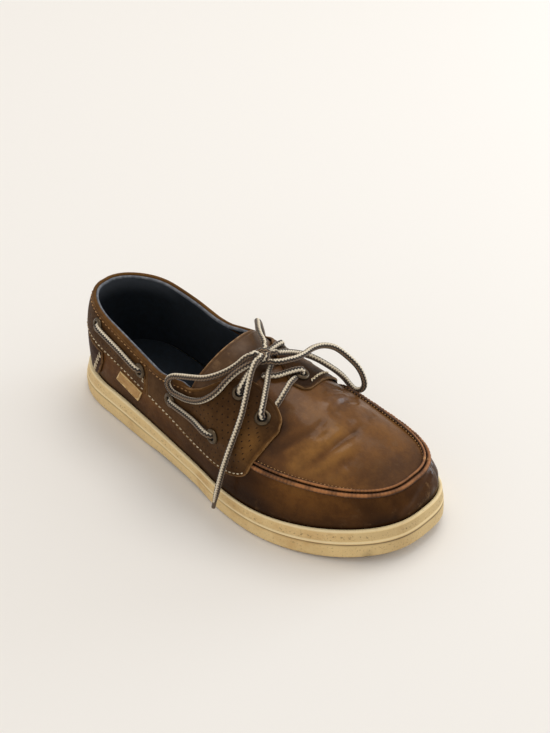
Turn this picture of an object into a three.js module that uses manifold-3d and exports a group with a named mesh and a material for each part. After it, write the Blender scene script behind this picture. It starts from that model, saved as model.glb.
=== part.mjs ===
// Right boat shoe: cupsole, footbed, hollow moccasin-toe upper, tongue, side pieces and lacing.
// Millimetres. +X runs from heel to toe, +Z up, -Y is the outer (lateral) side of the foot.
import * as THREE from 'three';
import { mergeVertices } from 'three/addons/utils/BufferGeometryUtils.js';
import Module from 'manifold-3d';

const manifoldKit = await Module();
manifoldKit.setup();

// Driving dimensions
const soleLength = 300;
const toeSwing = 14.5;          // how far the toe turns to the inner side
const toeSpring = 6.5;          // lift of the sole under the toe tip
const archRise = 2.2;           // lift of the sole under the waist
const wallThickness = 2;        // leather with lining
const overlayThickness = 1.5;
const tongueThickness = 3;
const tongueSink = 0.7;         // how far the tongue lies below the side pieces' own form
const footbedThickness = 4;
const cupDepth = 5;             // how far the upper stands down inside the rim
const gap = 0.35;               // clearance between pieces that meet
const overlayGap = 0.6;
const seamRollHeight = 1.5;
const plugBackEdge = 0.62;      // share of the length where the toe plug ends under the lacing
const laceDiameter = 4;
const eyeletRadius = 5.5;
const eyeletBore = 2.7;
const stationCount = 36;
const mergeStep = 1000;         // points closer than 1/1000 mm are one point

// Plan of the sole: share of the length, half widths to both sides, height of the rim
const soleRows = [
  { at: 0.00, lateral: 35.5, medial: 37.0, rim: 22.0 },
  { at: 0.10, lateral: 36.5, medial: 38.5, rim: 23.0 },
  { at: 0.22, lateral: 39.5, medial: 37.5, rim: 22.5 },
  { at: 0.36, lateral: 44.0, medial: 34.5, rim: 20.5 },
  { at: 0.50, lateral: 49.5, medial: 39.0, rim: 19.0 },
  { at: 0.62, lateral: 56.0, medial: 46.5, rim: 19.5 },
  { at: 0.72, lateral: 58.5, medial: 49.5, rim: 21.0 },
  { at: 0.84, lateral: 55.0, medial: 49.0, rim: 23.5 },
  { at: 1.00, lateral: 47.0, medial: 49.0, rim: 29.0 },
];

// Upper: insets of the swell and the shoulder, inset and height of the top line, height of the ridge
const upperRows = [
  { at: 0.00, swell: 2.5, shoulder: 5.0, top: 12.5, topLateral: 80.0, topMedial: 80.0, ridge: 113.0 },
  { at: 0.15, swell: 2.0, shoulder: 4.0, top: 9.0, topLateral: 77.0, topMedial: 78.0, ridge: 113.0 },
  { at: 0.40, swell: 1.2, shoulder: 5.5, top: 6.5, topLateral: 67.5, topMedial: 70.5, ridge: 109.0 },
  { at: 0.55, swell: 0.8, shoulder: 6.5, top: 7.5, topLateral: 61.5, topMedial: 65.5, ridge: 98.0 },
  { at: 0.70, swell: 0.8, shoulder: 6.0, top: 8.0, topLateral: 55.5, topMedial: 58.5, ridge: 81.0 },
  { at: 0.85, swell: 0.8, shoulder: 8.0, top: 8.5, topLateral: 51.5, topMedial: 52.5, ridge: 66.5 },
  { at: 1.00, swell: 0.8, shoulder: 8.0, top: 7.5, topLateral: 47.5, topMedial: 47.5, ridge: 47.5 },
];

// Where the upper's four guide rings start at the heel and end at the toe
const guideRings = {
  seat: { heel: 9.0, toe: 294.5 },
  swell: { heel: 7.8, toe: 299.5 },
  shoulder: { heel: 5.0, toe: 293.0 },
  top: { heel: 13.0, toe: 286.5 },
};

// How the cross section rises from the top line to the ridge
const domeRows = [
  { at: 0.00, lean: 0.05, rise: 0.55 },
  { at: 0.40, lean: 0.05, rise: 0.55 },
  { at: 0.60, lean: 0.18, rise: 0.60 },
  { at: 0.75, lean: 0.33, rise: 0.70 },
  { at: 1.00, lean: 0.33, rise: 0.70 },
];

// Smooth curve through one column of a table
function column(rows, name) {
  const last = rows.length - 1;
  const slopeAt = (i) => {
    const a = rows[Math.max(i - 1, 0)];
    const b = rows[Math.min(i + 1, last)];
    return (b[name] - a[name]) / (b.at - a.at);
  };
  return (s) => {
    let i = 0;
    while (i < last - 1 && s >= rows[i + 1].at) i += 1;
    const span = rows[i + 1].at - rows[i].at;
    const t = THREE.MathUtils.clamp((s - rows[i].at) / span, 0, 1);
    const t2 = t * t;
    const t3 = t2 * t;
    return (2 * t3 - 3 * t2 + 1) * rows[i][name] + (t3 - 2 * t2 + t) * span * slopeAt(i)
      + (3 * t2 - 2 * t3) * rows[i + 1][name] + (t3 - t2) * span * slopeAt(i + 1);
  };
}

const halfWidth = { '-1': column(soleRows, 'lateral'), '1': column(soleRows, 'medial') };
const topHeight = { '-1': column(upperRows, 'topLateral'), '1': column(upperRows, 'topMedial') };
const rimHeight = column(soleRows, 'rim');
const swellInset = column(upperRows, 'swell');
const shoulderInset = column(upperRows, 'shoulder');
const topInset = column(upperRows, 'top');
const ridgeHeight = column(upperRows, 'ridge');
const domeLean = column(domeRows, 'lean');
const domeRise = column(domeRows, 'rise');
const rimInset = column([{ at: 0, inset: 2.5 }, { at: 0.35, inset: 1.5 }, { at: 1, inset: 1.5 }], 'inset');

const smoothStep = (from, to, x) => THREE.MathUtils.smoothstep(x, from, to);
const centreLine = (s) => toeSwing * Math.max(0, (s - 0.55) / 0.45) ** 1.6;

// Round ends: the share of the half width that is left near the heel and near the toe
function endRounding(s) {
  const share = (x, power) => (1 - THREE.MathUtils.clamp(x, 0, 1) ** power) ** (1 / power);
  return share((0.15 - s) / 0.15, 2.3) * share((s - 0.7) / 0.3, 2.75);
}

// One point of a ring that follows the sole's plan, drawn in by an inset
function ringPoint(s, side, inset, heel, toe, height) {
  const y = centreLine(s) + side * (halfWidth[side](s) - inset) * endRounding(s);
  return new THREE.Vector3(heel + s * (toe - heel), y, height);
}

function cubic(a, b, c, d, t) {
  const u = 1 - t;
  return a.clone().multiplyScalar(u ** 3)
    .addScaledVector(b, 3 * u * u * t)
    .addScaledVector(c, 3 * u * t * t)
    .addScaledVector(d, t ** 3);
}

function topLine(s, side) {
  return ringPoint(s, side, topInset(s), guideRings.top.heel, guideRings.top.toe, topHeight[side](s));
}

// Side wall of the last, v from 0 inside the cup to 1 at the top line
function wallPoint(s, side, v) {
  const rim = rimHeight(s);
  const rise = topHeight[side](s) - rim;
  const { seat, swell, shoulder } = guideRings;
  const a = ringPoint(s, side, 4.2, seat.heel, seat.toe, rim - cupDepth);
  const b = ringPoint(s, side, swellInset(s), swell.heel, swell.toe, rim + 6);
  const c = ringPoint(s, side, shoulderInset(s), shoulder.heel, shoulder.toe, rim + 0.78 * rise);
  return cubic(a, b, c, topLine(s, side), v);
}

// Top of the last, b from 0 at the top line to 1 at the ridge
function domePoint(s, side, b) {
  const outer = topLine(s, -1);
  const inner = topLine(s, 1);
  const start = side < 0 ? outer : inner;
  const middleHeight = Math.max(ridgeHeight(s), (outer.z + inner.z) / 2);
  const ridge = new THREE.Vector3(start.x, (outer.y + inner.y) / 2, middleHeight);
  const span = ridge.clone().sub(start);
  const low = start.clone().add(new THREE.Vector3(0, domeLean(s) * span.y, domeRise(s) * span.z));
  const high = start.clone().add(new THREE.Vector3(0, 0.55 * span.y, span.z));
  return cubic(start, low, high, ridge, b);
}

// The last: turn runs 0 to 1 along the lateral side and 1 to 2 back along the medial side,
// level runs 0 to 1 up the wall and 1 to 2 over the top to the ridge
function lastPoint(turn, level) {
  const wrapped = ((turn % 2) + 2) % 2;
  const side = wrapped <= 1 ? -1 : 1;
  const s = side < 0 ? wrapped : 2 - wrapped;
  if (level <= 1) return wallPoint(s, side, level);
  if (s > 0.99999) return wallPoint(s, side, 1);
  return domePoint(s, side, Math.min(level - 1, 1));
}

// Outward direction of the last
function lastNormal(turn, level) {
  const step = 0.002;
  const wrapped = ((turn % 2) + 2) % 2;
  if (level > 1.999) {
    const s = wrapped <= 1 ? wrapped : 2 - wrapped;
    const back = lastPoint(s - step, 2);
    const front = lastPoint(Math.min(s + step, 1), 2);
    return new THREE.Vector3(back.z - front.z, 0, front.x - back.x).normalize();
  }
  const tipped = Math.abs(wrapped - 1) < 0.00001 && level > 1 ? 1 : level;
  const along = lastPoint(turn + step, tipped).sub(lastPoint(turn - step, tipped));
  const low = Math.max(tipped - 0.01, 0);
  const up = lastPoint(turn, Math.min(tipped + 0.01, 2)).sub(lastPoint(turn, low));
  return along.cross(up).normalize();
}

// A point at a height above the last
function offLast(turn, level, height) {
  return lastPoint(turn, level).addScaledVector(lastNormal(turn, level), height);
}

// Closed geometry from a list of triangles given by their corner points
function geometryFrom(triangles) {
  const places = new Map();
  const positions = [];
  const indices = [];
  const indexOf = (p) => {
    const key = [p.x, p.y, p.z].map((value) => Math.round(value * mergeStep)).join(' ');
    if (!places.has(key)) {
      places.set(key, positions.length / 3);
      positions.push(p.x, p.y, p.z);
    }
    return places.get(key);
  };
  for (const corners of triangles) {
    const [a, b, c] = corners.map(indexOf);
    if (a !== b && b !== c && c !== a) indices.push(a, b, c);
  }
  const geometry = new THREE.BufferGeometry();
  geometry.setAttribute('position', new THREE.Float32BufferAttribute(positions, 3));
  geometry.setIndex(indices);
  geometry.computeVertexNormals();
  return geometry;
}

const quad = (a, b, c, d) => [[a, b, c], [a, c, d]];

// Solid between rings of equal count; the first and the last ring are closed straight across
function ringSolid(rings) {
  const triangles = [];
  const count = rings[0].length;
  for (let k = 0; k + 1 < rings.length; k += 1) {
    for (let i = 0; i < count; i += 1) {
      const j = (i + 1) % count;
      triangles.push(...quad(rings[k][i], rings[k][j], rings[k + 1][j], rings[k + 1][i]));
    }
  }
  const across = (ring, flip) => {
    for (let i = 0; i < count / 2; i += 1) {
      const a = ring[i];
      const b = ring[i + 1];
      const c = ring[(count - i - 1) % count];
      const d = ring[(count - i) % count];
      triangles.push(...(flip ? quad(a, d, c, b) : quad(a, b, c, d)));
    }
  };
  across(rings[0], true);
  across(rings[rings.length - 1], false);
  return geometryFrom(triangles);
}

// Solid of a sheet: every cell has corners with a point on top and a point below
function sheetSolid(cells) {
  const triangles = [];
  const edges = new Map();
  const keyOf = (p) => [p.x, p.y, p.z].map((value) => Math.round(value * mergeStep)).join(' ');
  const addEdge = (a, b) => {
    const from = keyOf(a.top);
    const to = keyOf(b.top);
    if (from === to) return;
    if (edges.has(`${to}|${from}`)) edges.delete(`${to}|${from}`);
    else edges.set(`${from}|${to}`, [a, b]);
  };
  for (const [a, b, c, d] of cells) {
    triangles.push(...quad(a.top, b.top, c.top, d.top));
    triangles.push(...quad(a.under, d.under, c.under, b.under));
    addEdge(a, b);
    addEdge(b, c);
    addEdge(c, d);
    addEdge(d, a);
  }
  for (const [a, b] of edges.values()) {
    triangles.push(...quad(b.top, a.top, a.under, b.under));
  }
  return geometryFrom(triangles);
}

// Cells of a grid of corners, rows along the first index
function gridCells(grid) {
  const cells = [];
  for (let i = 0; i + 1 < grid.length; i += 1) {
    for (let j = 0; j + 1 < grid[i].length; j += 1) {
      cells.push([grid[i][j], grid[i + 1][j], grid[i + 1][j + 1], grid[i][j + 1]]);
    }
  }
  return cells;
}

const spread = (count, from, to) => (
  Array.from({ length: count }, (unused, i) => from + (to - from) * (i / (count - 1)))
);

// Stations along one side, closer together at heel and toe
const stations = spread(stationCount, 0, Math.PI).map((angle) => (1 - Math.cos(angle)) / 2);

// Full ring: lateral side from heel to toe, then back along the medial side
const ringTurns = [...stations, ...stations.slice(1, -1).reverse().map((s) => 2 - s)];

function soleRing(inset, heel, toe, heightAt) {
  return ringTurns.map((turn) => {
    const side = turn <= 1 ? -1 : 1;
    const s = side < 0 ? turn : 2 - turn;
    return ringPoint(s, side, inset(s), heel, toe, heightAt(s));
  });
}

// Underside of the sole: flat at heel and ball, raised at the waist and the toe
function tread(s) {
  const waist = smoothStep(0.3, 0.38, s) * (1 - smoothStep(0.5, 0.58, s));
  const toe = Math.max(0, (s - 0.76) / 0.24) ** 2;
  return archRise * waist + toeSpring * toe;
}

function soleGeometry() {
  const even = (value) => () => value;
  const between = (share) => (s) => tread(s) + share * (rimHeight(s) - tread(s));
  const rimTop = ringTurns.map((turn) => offLast(turn, 0.125, gap));
  const cupWall = ringTurns.map((turn) => offLast(turn, 0.02, gap));
  const cupFloor = cupWall.map((point, i) => {
    const s = ringTurns[i] <= 1 ? ringTurns[i] : 2 - ringTurns[i];
    return new THREE.Vector3(point.x, point.y, rimHeight(s) - cupDepth - gap);
  });
  return ringSolid([
    soleRing(even(2), 2, soleLength - 2, tread),
    soleRing(even(0), 0, soleLength, (s) => tread(s) + 2),
    soleRing(even(0), 0.5, soleLength, between(0.46)),
    soleRing(even(1), 1.5, soleLength - 1, between(0.5)),
    soleRing(even(0.6), 1.5, soleLength - 0.5, between(0.56)),
    soleRing(rimInset, 3.5, soleLength - 1.5, rimHeight),
    rimTop,
    cupFloor,
  ]);
}

function footbedGeometry() {
  const inset = () => 9;
  const base = (s) => rimHeight(s) - cupDepth + 0.2;
  const top = (s) => base(s) + footbedThickness;
  return ringSolid([
    soleRing(inset, 13, soleLength - 10, base),
    soleRing(inset, 13, soleLength - 10, (s) => top(s) - 1),
    soleRing(() => 10, 14, soleLength - 11, top),
  ]);
}

// Height of the rolled seam that joins the toe wall and the plug
function seamRoll(s, level) {
  return seamRollHeight * Math.exp(-(((level - 1) / 0.05) ** 2)) * smoothStep(0.73, 0.77, s);
}

function upperCorner(turn, level) {
  const s = turn <= 1 ? turn : 2 - turn;
  return {
    top: offLast(turn, level, seamRoll(s, level)),
    under: offLast(turn, level, -wallThickness),
  };
}

// The upper: side walls all the way round, and the plug over the toes
function upperGeometry() {
  const wallLevels = [0, 0.12, 0.26, 0.42, 0.6, 0.78, 0.92, 1];
  const plugLevels = [1, 1.08, 1.25, 1.45, 1.65, 1.83, 2];
  const walls = gridCells([...ringTurns, 2].map((turn) => (
    wallLevels.map((level) => upperCorner(turn, level))
  )));
  const plugStations = stations.slice(stations.findIndex((s) => s > plugBackEdge) - 1);
  const outerHalf = gridCells(plugStations.map((s) => (
    plugLevels.map((level) => upperCorner(s, level))
  )));
  const innerHalf = gridCells([...plugStations].reverse().map((s) => (
    plugLevels.map((level) => upperCorner(s === 1 ? 1 : 2 - s, level))
  )));
  return sheetSolid([...walls, ...outerHalf, ...innerHalf]);
}

// Back edge of the tongue across the instep: level over both sides and share of the length
const tongueRows = [
  { at: -0.86, back: 0.47, front: 0.66 },
  { at: -0.4, back: 0.498, front: 0.69 },
  { at: 0, back: 0.506, front: 0.7 },
  { at: 0.4, back: 0.49, front: 0.69 },
  { at: 0.86, back: 0.455, front: 0.66 },
];

function tongueGeometry() {
  const back = column(tongueRows, 'back');
  const front = column(tongueRows, 'front');
  const grid = spread(12, 0, 1).map((u) => spread(13, -0.86, 0.86).map((across) => {
    const s = back(across) + u * (front(across) - back(across));
    const turn = across <= 0 ? s : 2 - s;
    const level = 2 - Math.abs(across);
    const tuck = -tongueSink - (wallThickness + 0.2) * smoothStep(0.54, 0.59, s);
    return {
      top: offLast(turn, level, tuck),
      under: offLast(turn, level, tuck - tongueThickness),
    };
  }));
  return sheetSolid(gridCells(grid));
}

// Outline of the side pieces that carry the eyelets: lower and upper edge along their length
const quarterRows = {
  lateral: [
    { at: 0.318, low: 0.530, high: 1.000 },
    { at: 0.360, low: 0.510, high: 1.020 },
    { at: 0.400, low: 0.500, high: 1.075 },
    { at: 0.450, low: 0.475, high: 1.155 },
    { at: 0.485, low: 0.455, high: 1.200 },
    { at: 0.520, low: 0.450, high: 1.320 },
    { at: 0.565, low: 0.460, high: 1.565 },
    { at: 0.600, low: 0.475, high: 1.715 },
    { at: 0.630, low: 0.500, high: 1.765 },
    { at: 0.660, low: 0.560, high: 1.745 },
    { at: 0.690, low: 0.670, high: 1.720 },
    { at: 0.710, low: 0.880, high: 1.665 },
    { at: 0.724, low: 1.150, high: 1.590 },
    { at: 0.733, low: 1.420, high: 1.460 },
  ],
  medial: [
    { at: 0.318, low: 0.530, high: 1.000 },
    { at: 0.360, low: 0.510, high: 1.020 },
    { at: 0.400, low: 0.500, high: 1.075 },
    { at: 0.450, low: 0.475, high: 1.155 },
    { at: 0.485, low: 0.455, high: 1.220 },
    { at: 0.520, low: 0.450, high: 1.380 },
    { at: 0.560, low: 0.460, high: 1.620 },
    { at: 0.600, low: 0.480, high: 1.780 },
    { at: 0.640, low: 0.560, high: 1.870 },
    { at: 0.660, low: 0.760, high: 1.920 },
    { at: 0.675, low: 1.060, high: 1.935 },
    { at: 0.690, low: 1.400, high: 1.915 },
    { at: 0.700, low: 1.620, high: 1.880 },
    { at: 0.706, low: 1.780, high: 1.820 },
  ],
};

// Outline of the heel band and of the heel counter below it, from the back of the heel forward
const heelBandRows = [
  { at: 0.000, low: 0.60, high: 1.0 },
  { at: 0.130, low: 0.585, high: 1.0 },
  { at: 0.200, low: 0.565, high: 1.0 },
  { at: 0.313, low: 0.53, high: 1.0 },
];
const counterRows = [
  { at: 0.000, low: 0.15, high: 0.575 },
  { at: 0.060, low: 0.15, high: 0.57 },
  { at: 0.095, low: 0.20, high: 0.565 },
  { at: 0.130, low: 0.45, high: 0.56 },
];

// Room that an overlay leaves where it crosses the edge between wall and plug
function overlayLift(s, level) {
  return overlayGap + 0.9 * Math.exp(-(((level - 1) / 0.16) ** 2)) * smoothStep(0.5, 0.6, s);
}

// Overlay on one stretch of the last between its lower and upper edges
function overlayGeometry(turns, rows, levelCount) {
  const low = column(rows, 'low');
  const high = column(rows, 'high');
  const grid = turns.map((turn) => {
    const wrapped = ((turn % 2) + 2) % 2;
    const s = wrapped <= 1 ? wrapped : 2 - wrapped;
    return spread(levelCount, low(s), high(s)).map((level) => ({
      top: offLast(turn, level, overlayLift(s, level) + overlayThickness),
      under: offLast(turn, level, overlayLift(s, level)),
    }));
  });
  return sheetSolid(gridCells(grid));
}

function quarterGeometry(side) {
  const rows = quarterRows[side];
  const first = rows[0].at;
  const last = rows[rows.length - 1].at;
  const along = spread(24, 0, 1).map((u) => first + (last - first) * Math.sin(u * Math.PI / 2));
  const turns = side === 'lateral' ? along : along.reverse().map((s) => 2 - s);
  return overlayGeometry(turns, rows, 9);
}

// Eyelets: where each pair sits on the last, the same on both sides
const eyeletRows = [
  { name: 'heel', lateral: [0.108, 0.84], medial: [0.108, 0.84] },
  { name: 'waist_back', lateral: [0.292, 0.79], medial: [0.292, 0.79] },
  { name: 'waist_front', lateral: [0.415, 0.79], medial: [0.415, 0.79] },
  { name: 'vamp', lateral: [0.588, 0.95], medial: [0.588, 0.95] },
  { name: 'throat_upper', lateral: [0.609, 1.55], medial: [0.577, 1.60] },
  { name: 'throat_lower', lateral: [0.684, 1.49], medial: [0.664, 1.74] },
];

const manifoldOf = (geometry) => {
  const bare = geometry.clone();
  bare.deleteAttribute('normal');
  bare.deleteAttribute('uv');
  const merged = mergeVertices(bare);
  return new manifoldKit.Manifold(new manifoldKit.Mesh({
    numProp: 3,
    vertProperties: merged.attributes.position.array,
    triVerts: new Uint32Array(merged.index.array),
  }));
};

const geometryOf = (solid) => {
  const mesh = solid.getMesh();
  const geometry = new THREE.BufferGeometry();
  geometry.setAttribute('position', new THREE.BufferAttribute(new Float32Array(mesh.vertProperties), 3));
  geometry.setIndex(Array.from(mesh.triVerts));
  geometry.computeVertexNormals();
  return geometry;
};

// Turns a geometry made along +Z so that it stands on the last at one place
function placeOnLast(geometry, turn, level, height) {
  const up = lastNormal(turn, level);
  const facing = new THREE.Quaternion().setFromUnitVectors(new THREE.Vector3(0, 0, 1), up);
  const place = offLast(turn, level, height);
  return geometry.applyQuaternion(facing).translate(place.x, place.y, place.z);
}

function eyeletGeometry(turn, level) {
  const profile = [
    [eyeletBore, -1.2], [eyeletBore + 0.7, -1.2], [eyeletBore + 0.7, 0.7],
    [eyeletRadius, 0.7], [eyeletRadius - 0.4, 1.5], [eyeletBore + 0.4, 1.7], [eyeletBore, 1.1],
    [eyeletBore, -1.2],
  ].map(([x, y]) => new THREE.Vector2(x, y));
  const ring = new THREE.LatheGeometry(profile, 14).rotateX(Math.PI / 2);
  const s = turn <= 1 ? turn : 2 - turn;
  return placeOnLast(ring, turn, level, overlayLift(s, level) + overlayThickness);
}

function punched(geometry, holes) {
  let solid = manifoldOf(geometry);
  for (const [turn, level] of holes) {
    const drill = new THREE.CylinderGeometry(eyeletBore + 1.2, eyeletBore + 1.2, 14, 14);
    solid = solid.subtract(manifoldOf(placeOnLast(drill.rotateX(Math.PI / 2), turn, level, 0)));
  }
  return geometryOf(solid);
}

// Tube along a smooth curve through points
function tubeGeometry(points, diameter, stepLength) {
  const curve = new THREE.CatmullRomCurve3(points, false, 'centripetal');
  const section = new THREE.Shape();
  spread(9, 0, 2 * Math.PI).slice(0, -1).forEach((angle, i) => {
    const x = 0.5 * diameter * Math.cos(angle);
    const y = 0.5 * diameter * Math.sin(angle);
    if (i === 0) section.moveTo(x, y);
    else section.lineTo(x, y);
  });
  const steps = Math.max(3, Math.round(curve.getLength() / stepLength));
  return new THREE.ExtrudeGeometry(section, { extrudePath: curve, steps, bevelEnabled: false });
}

// Straight runs of the lace along the sides, between the holes: share, level and height above the last
const sideRunRows = {
  heel: [
    [0.112, 0.840, 7.4], [0.130, 0.836, 6.0], [0.165, 0.825, 5.0],
    [0.210, 0.812, 4.9], [0.250, 0.800, 5.2], [0.273, 0.794, 6.1], [0.289, 0.790, 7.2],
  ],
  waist: [
    [0.418, 0.792, 7.2], [0.435, 0.805, 6.0], [0.475, 0.840, 5.0],
    [0.525, 0.890, 5.2], [0.560, 0.925, 6.4], [0.584, 0.946, 8.2],
  ],
};

// Lacing over the instep, same columns, with the side of the foot first
const throatRows = {
  strandFromOuter: [
    ['lateral', 0.682, 1.500, 7.2], ['lateral', 0.671, 1.600, 6.1], ['lateral', 0.656, 1.720, 5.3],
    ['lateral', 0.641, 1.830, 4.2], ['lateral', 0.626, 1.930, 3.0], ['medial', 0.615, 1.980, 2.4],
    ['medial', 0.604, 1.900, 1.4],
  ],
  strandFromInner: [
    ['medial', 0.661, 1.750, 7.2], ['medial', 0.656, 1.820, 6.2], ['medial', 0.649, 1.910, 5.0],
    ['lateral', 0.640, 1.970, 4.0], ['lateral', 0.629, 1.915, 3.2], ['lateral', 0.619, 1.855, 2.8],
  ],
  bar: [
    ['medial', 0.672, 1.985, 2.5], ['lateral', 0.676, 1.970, 2.5], ['lateral', 0.680, 1.910, 2.5],
    ['lateral', 0.684, 1.850, 2.5], ['lateral', 0.687, 1.800, 2.5],
  ],
  tieOuter: [
    ['lateral', 0.607, 1.565, 7.4], ['lateral', 0.604, 1.640, 5.8], ['lateral', 0.600, 1.705, 4.7],
    ['lateral', 0.597, 1.770, 2.8], ['lateral', 0.594, 1.830, 0.8],
  ],
  tieInner: [
    ['medial', 0.578, 1.620, 7.6], ['medial', 0.580, 1.700, 6.1], ['medial', 0.582, 1.775, 5.0],
    ['medial', 0.584, 1.840, 4.0], ['medial', 0.586, 1.885, 3.0],
  ],
};

// Free lace, points along its middle measured from the floor below the middle of the shoe
const knotPlace = { x: 26.8, y: -3.3, z: 99.4 };
const knotSize = { x: 5.2, y: 5.2, z: 4.2 };
const freeRoutes = {
  loop_lateral: [
    [24.2, -11.0, 103.6], [22.4, -14.8, 102.2], [20.3, -19.0, 98.9], [17.1, -25.2, 95.6],
    [11.3, -31.3, 91.9], [5.0, -35.2, 89.0], [-4.0, -38.0, 86.4], [-13.9, -40.0, 83.2],
    [-21.0, -41.8, 78.6], [-23.6, -43.0, 73.6], [-20.5, -43.6, 70.9], [-14.0, -43.9, 70.8],
    [-3.6, -44.4, 72.2], [6.2, -43.4, 75.5], [13.4, -41.0, 80.4], [18.2, -36.4, 86.0],
    [20.8, -30.4, 92.0], [23.4, -22.7, 96.8], [26.2, -15.6, 99.4], [27.8, -11.0, 99.4],
  ],
  loop_medial: [
    [34.4, -2.0, 98.2], [37.8, 1.7, 98.0], [39.7, 6.6, 97.4], [41.6, 12.7, 96.6],
    [42.0, 19.5, 96.0], [41.4, 28.5, 95.2], [43.0, 36.5, 93.6], [47.0, 43.0, 90.3],
    [53.4, 48.0, 83.5], [60.4, 51.0, 76.0], [64.3, 52.0, 68.0], [64.6, 51.5, 61.8],
    [61.6, 50.0, 58.4], [57.4, 48.2, 61.2], [54.0, 45.6, 66.4], [51.2, 41.5, 72.8],
    [47.6, 36.4, 79.2], [43.0, 31.8, 84.4], [37.6, 27.4, 88.0], [34.0, 22.2, 91.0],
    [32.6, 16.4, 94.4], [31.6, 10.4, 97.4], [30.6, 5.6, 99.4],
  ],
  end_lateral: [
    [29.9, -10.2, 103.2], [31.2, -15.0, 102.2], [33.4, -20.8, 98.0], [36.0, -26.4, 92.0],
    [38.4, -31.6, 86.0], [40.6, -37.2, 79.4], [42.0, -43.0, 72.8], [42.6, -48.2, 66.0],
    [42.6, -52.8, 58.5], [41.5, -56.4, 49.0], [40.0, -58.6, 39.5], [37.5, -60.4, 27.0],
    [33.8, -61.2, 12.0],
  ],
  end_medial: [
    [23.2, 2.6, 103.4], [19.0, 5.4, 103.8], [14.1, 8.2, 103.2], [6.5, 13.6, 101.8],
    [-0.9, 20.2, 99.2], [-8.0, 26.6, 94.0], [-13.6, 33.4, 86.0], [-17.4, 38.2, 77.6],
    [-19.6, 41.6, 69.0], [-20.8, 43.6, 60.5], [-21.6, 44.2, 52.0], [-21.8, 43.6, 43.0],
    [-21.4, 42.4, 34.0],
  ],
};

const leather = { color: 0x6b4526, roughness: 0.45, metalness: 0 };
const finishes = {
  sole: { color: 0xcbb994, roughness: 0.75, metalness: 0 },
  footbed: { color: 0x1b2230, roughness: 0.9, metalness: 0 },
  upper: leather,
  tongue: { color: 0x6a4428, roughness: 0.5, metalness: 0 },
  overlay: { color: 0x5a3a22, roughness: 0.55, metalness: 0 },
  eyelet: { color: 0x4a3f30, roughness: 0.35, metalness: 1 },
  lace: { color: 0x9c8e78, roughness: 0.9, metalness: 0 },
};

const group = new THREE.Group();
function add(name, finish, geometry) {
  const mesh = new THREE.Mesh(geometry, new THREE.MeshStandardMaterial(finishes[finish]));
  mesh.name = name;
  group.add(mesh);
}

const turnOf = (side, s) => (side === 'lateral' ? s : 2 - s);
const holesOf = (side, names) => eyeletRows
  .filter((row) => names.includes(row.name))
  .map((row) => [turnOf(side, row[side][0]), row[side][1]]);

add('sole', 'sole', soleGeometry());
add('footbed', 'footbed', footbedGeometry());
add('upper', 'upper', upperGeometry());
add('tongue', 'tongue', tongueGeometry());
const quarterEyelets = ['waist_front', 'vamp', 'throat_upper', 'throat_lower'];
for (const side of ['lateral', 'medial']) {
  add(`quarter_${side}`, 'overlay', punched(quarterGeometry(side), holesOf(side, quarterEyelets)));
}
const aroundHeel = (count, reach) => spread(count, -1, 1).map((x) => reach * x * Math.abs(x));
const bandTurns = aroundHeel(25, 0.313);
const bandEyelets = ['heel', 'waist_back'];
const bandHoles = [...holesOf('lateral', bandEyelets), ...holesOf('medial', bandEyelets)];
add('heel_band', 'overlay', punched(overlayGeometry(bandTurns, heelBandRows, 4), bandHoles));
add('heel_counter', 'overlay', overlayGeometry(aroundHeel(19, 0.13), counterRows, 5));
for (const row of eyeletRows) {
  for (const side of ['lateral', 'medial']) {
    const [s, level] = row[side];
    add(`eyelet_${row.name}_${side}`, 'eyelet', eyeletGeometry(turnOf(side, s), level));
  }
}

const overLeather = (side, rows) => (
  rows.map(([s, level, height]) => offLast(turnOf(side, s), level, height))
);
for (const side of ['lateral', 'medial']) {
  for (const [place, rows] of Object.entries(sideRunRows)) {
    add(`side_lace_${place}_${side}`, 'lace', tubeGeometry(overLeather(side, rows), laceDiameter, 6));
  }
}

const overInstep = (rows) => rows.map(([side, s, level, height]) => offLast(turnOf(side, s), level, height));
const throatTube = (name) => tubeGeometry(overInstep(throatRows[name]), laceDiameter, 4);
const crossed = manifoldOf(throatTube('strandFromOuter')).add(manifoldOf(throatTube('strandFromInner')));
add('lace_crossing', 'lace', geometryOf(crossed));
add('lace_bar', 'lace', throatTube('bar'));
add('lace_tie_lateral', 'lace', throatTube('tieOuter'));
add('lace_tie_medial', 'lace', throatTube('tieInner'));

// The origin lies on the floor, below the middle of the shoe
const box = new THREE.Box3().setFromObject(group);
const middle = box.getCenter(new THREE.Vector3());
for (const mesh of group.children) {
  mesh.geometry.translate(-middle.x, -middle.y, 0);
}

const knot = new THREE.SphereGeometry(1, 12, 8).scale(knotSize.x, knotSize.y, knotSize.z);
add('knot', 'lace', knot.translate(knotPlace.x, knotPlace.y, knotPlace.z));
for (const [name, route] of Object.entries(freeRoutes)) {
  const points = route.map(([x, y, z]) => new THREE.Vector3(x, y, z));
  add(name, 'lace', tubeGeometry(points, laceDiameter, 9));
}

export default group;
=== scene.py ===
import math

import bmesh
import bpy
import numpy as np
from mathutils import Matrix, Vector


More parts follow.
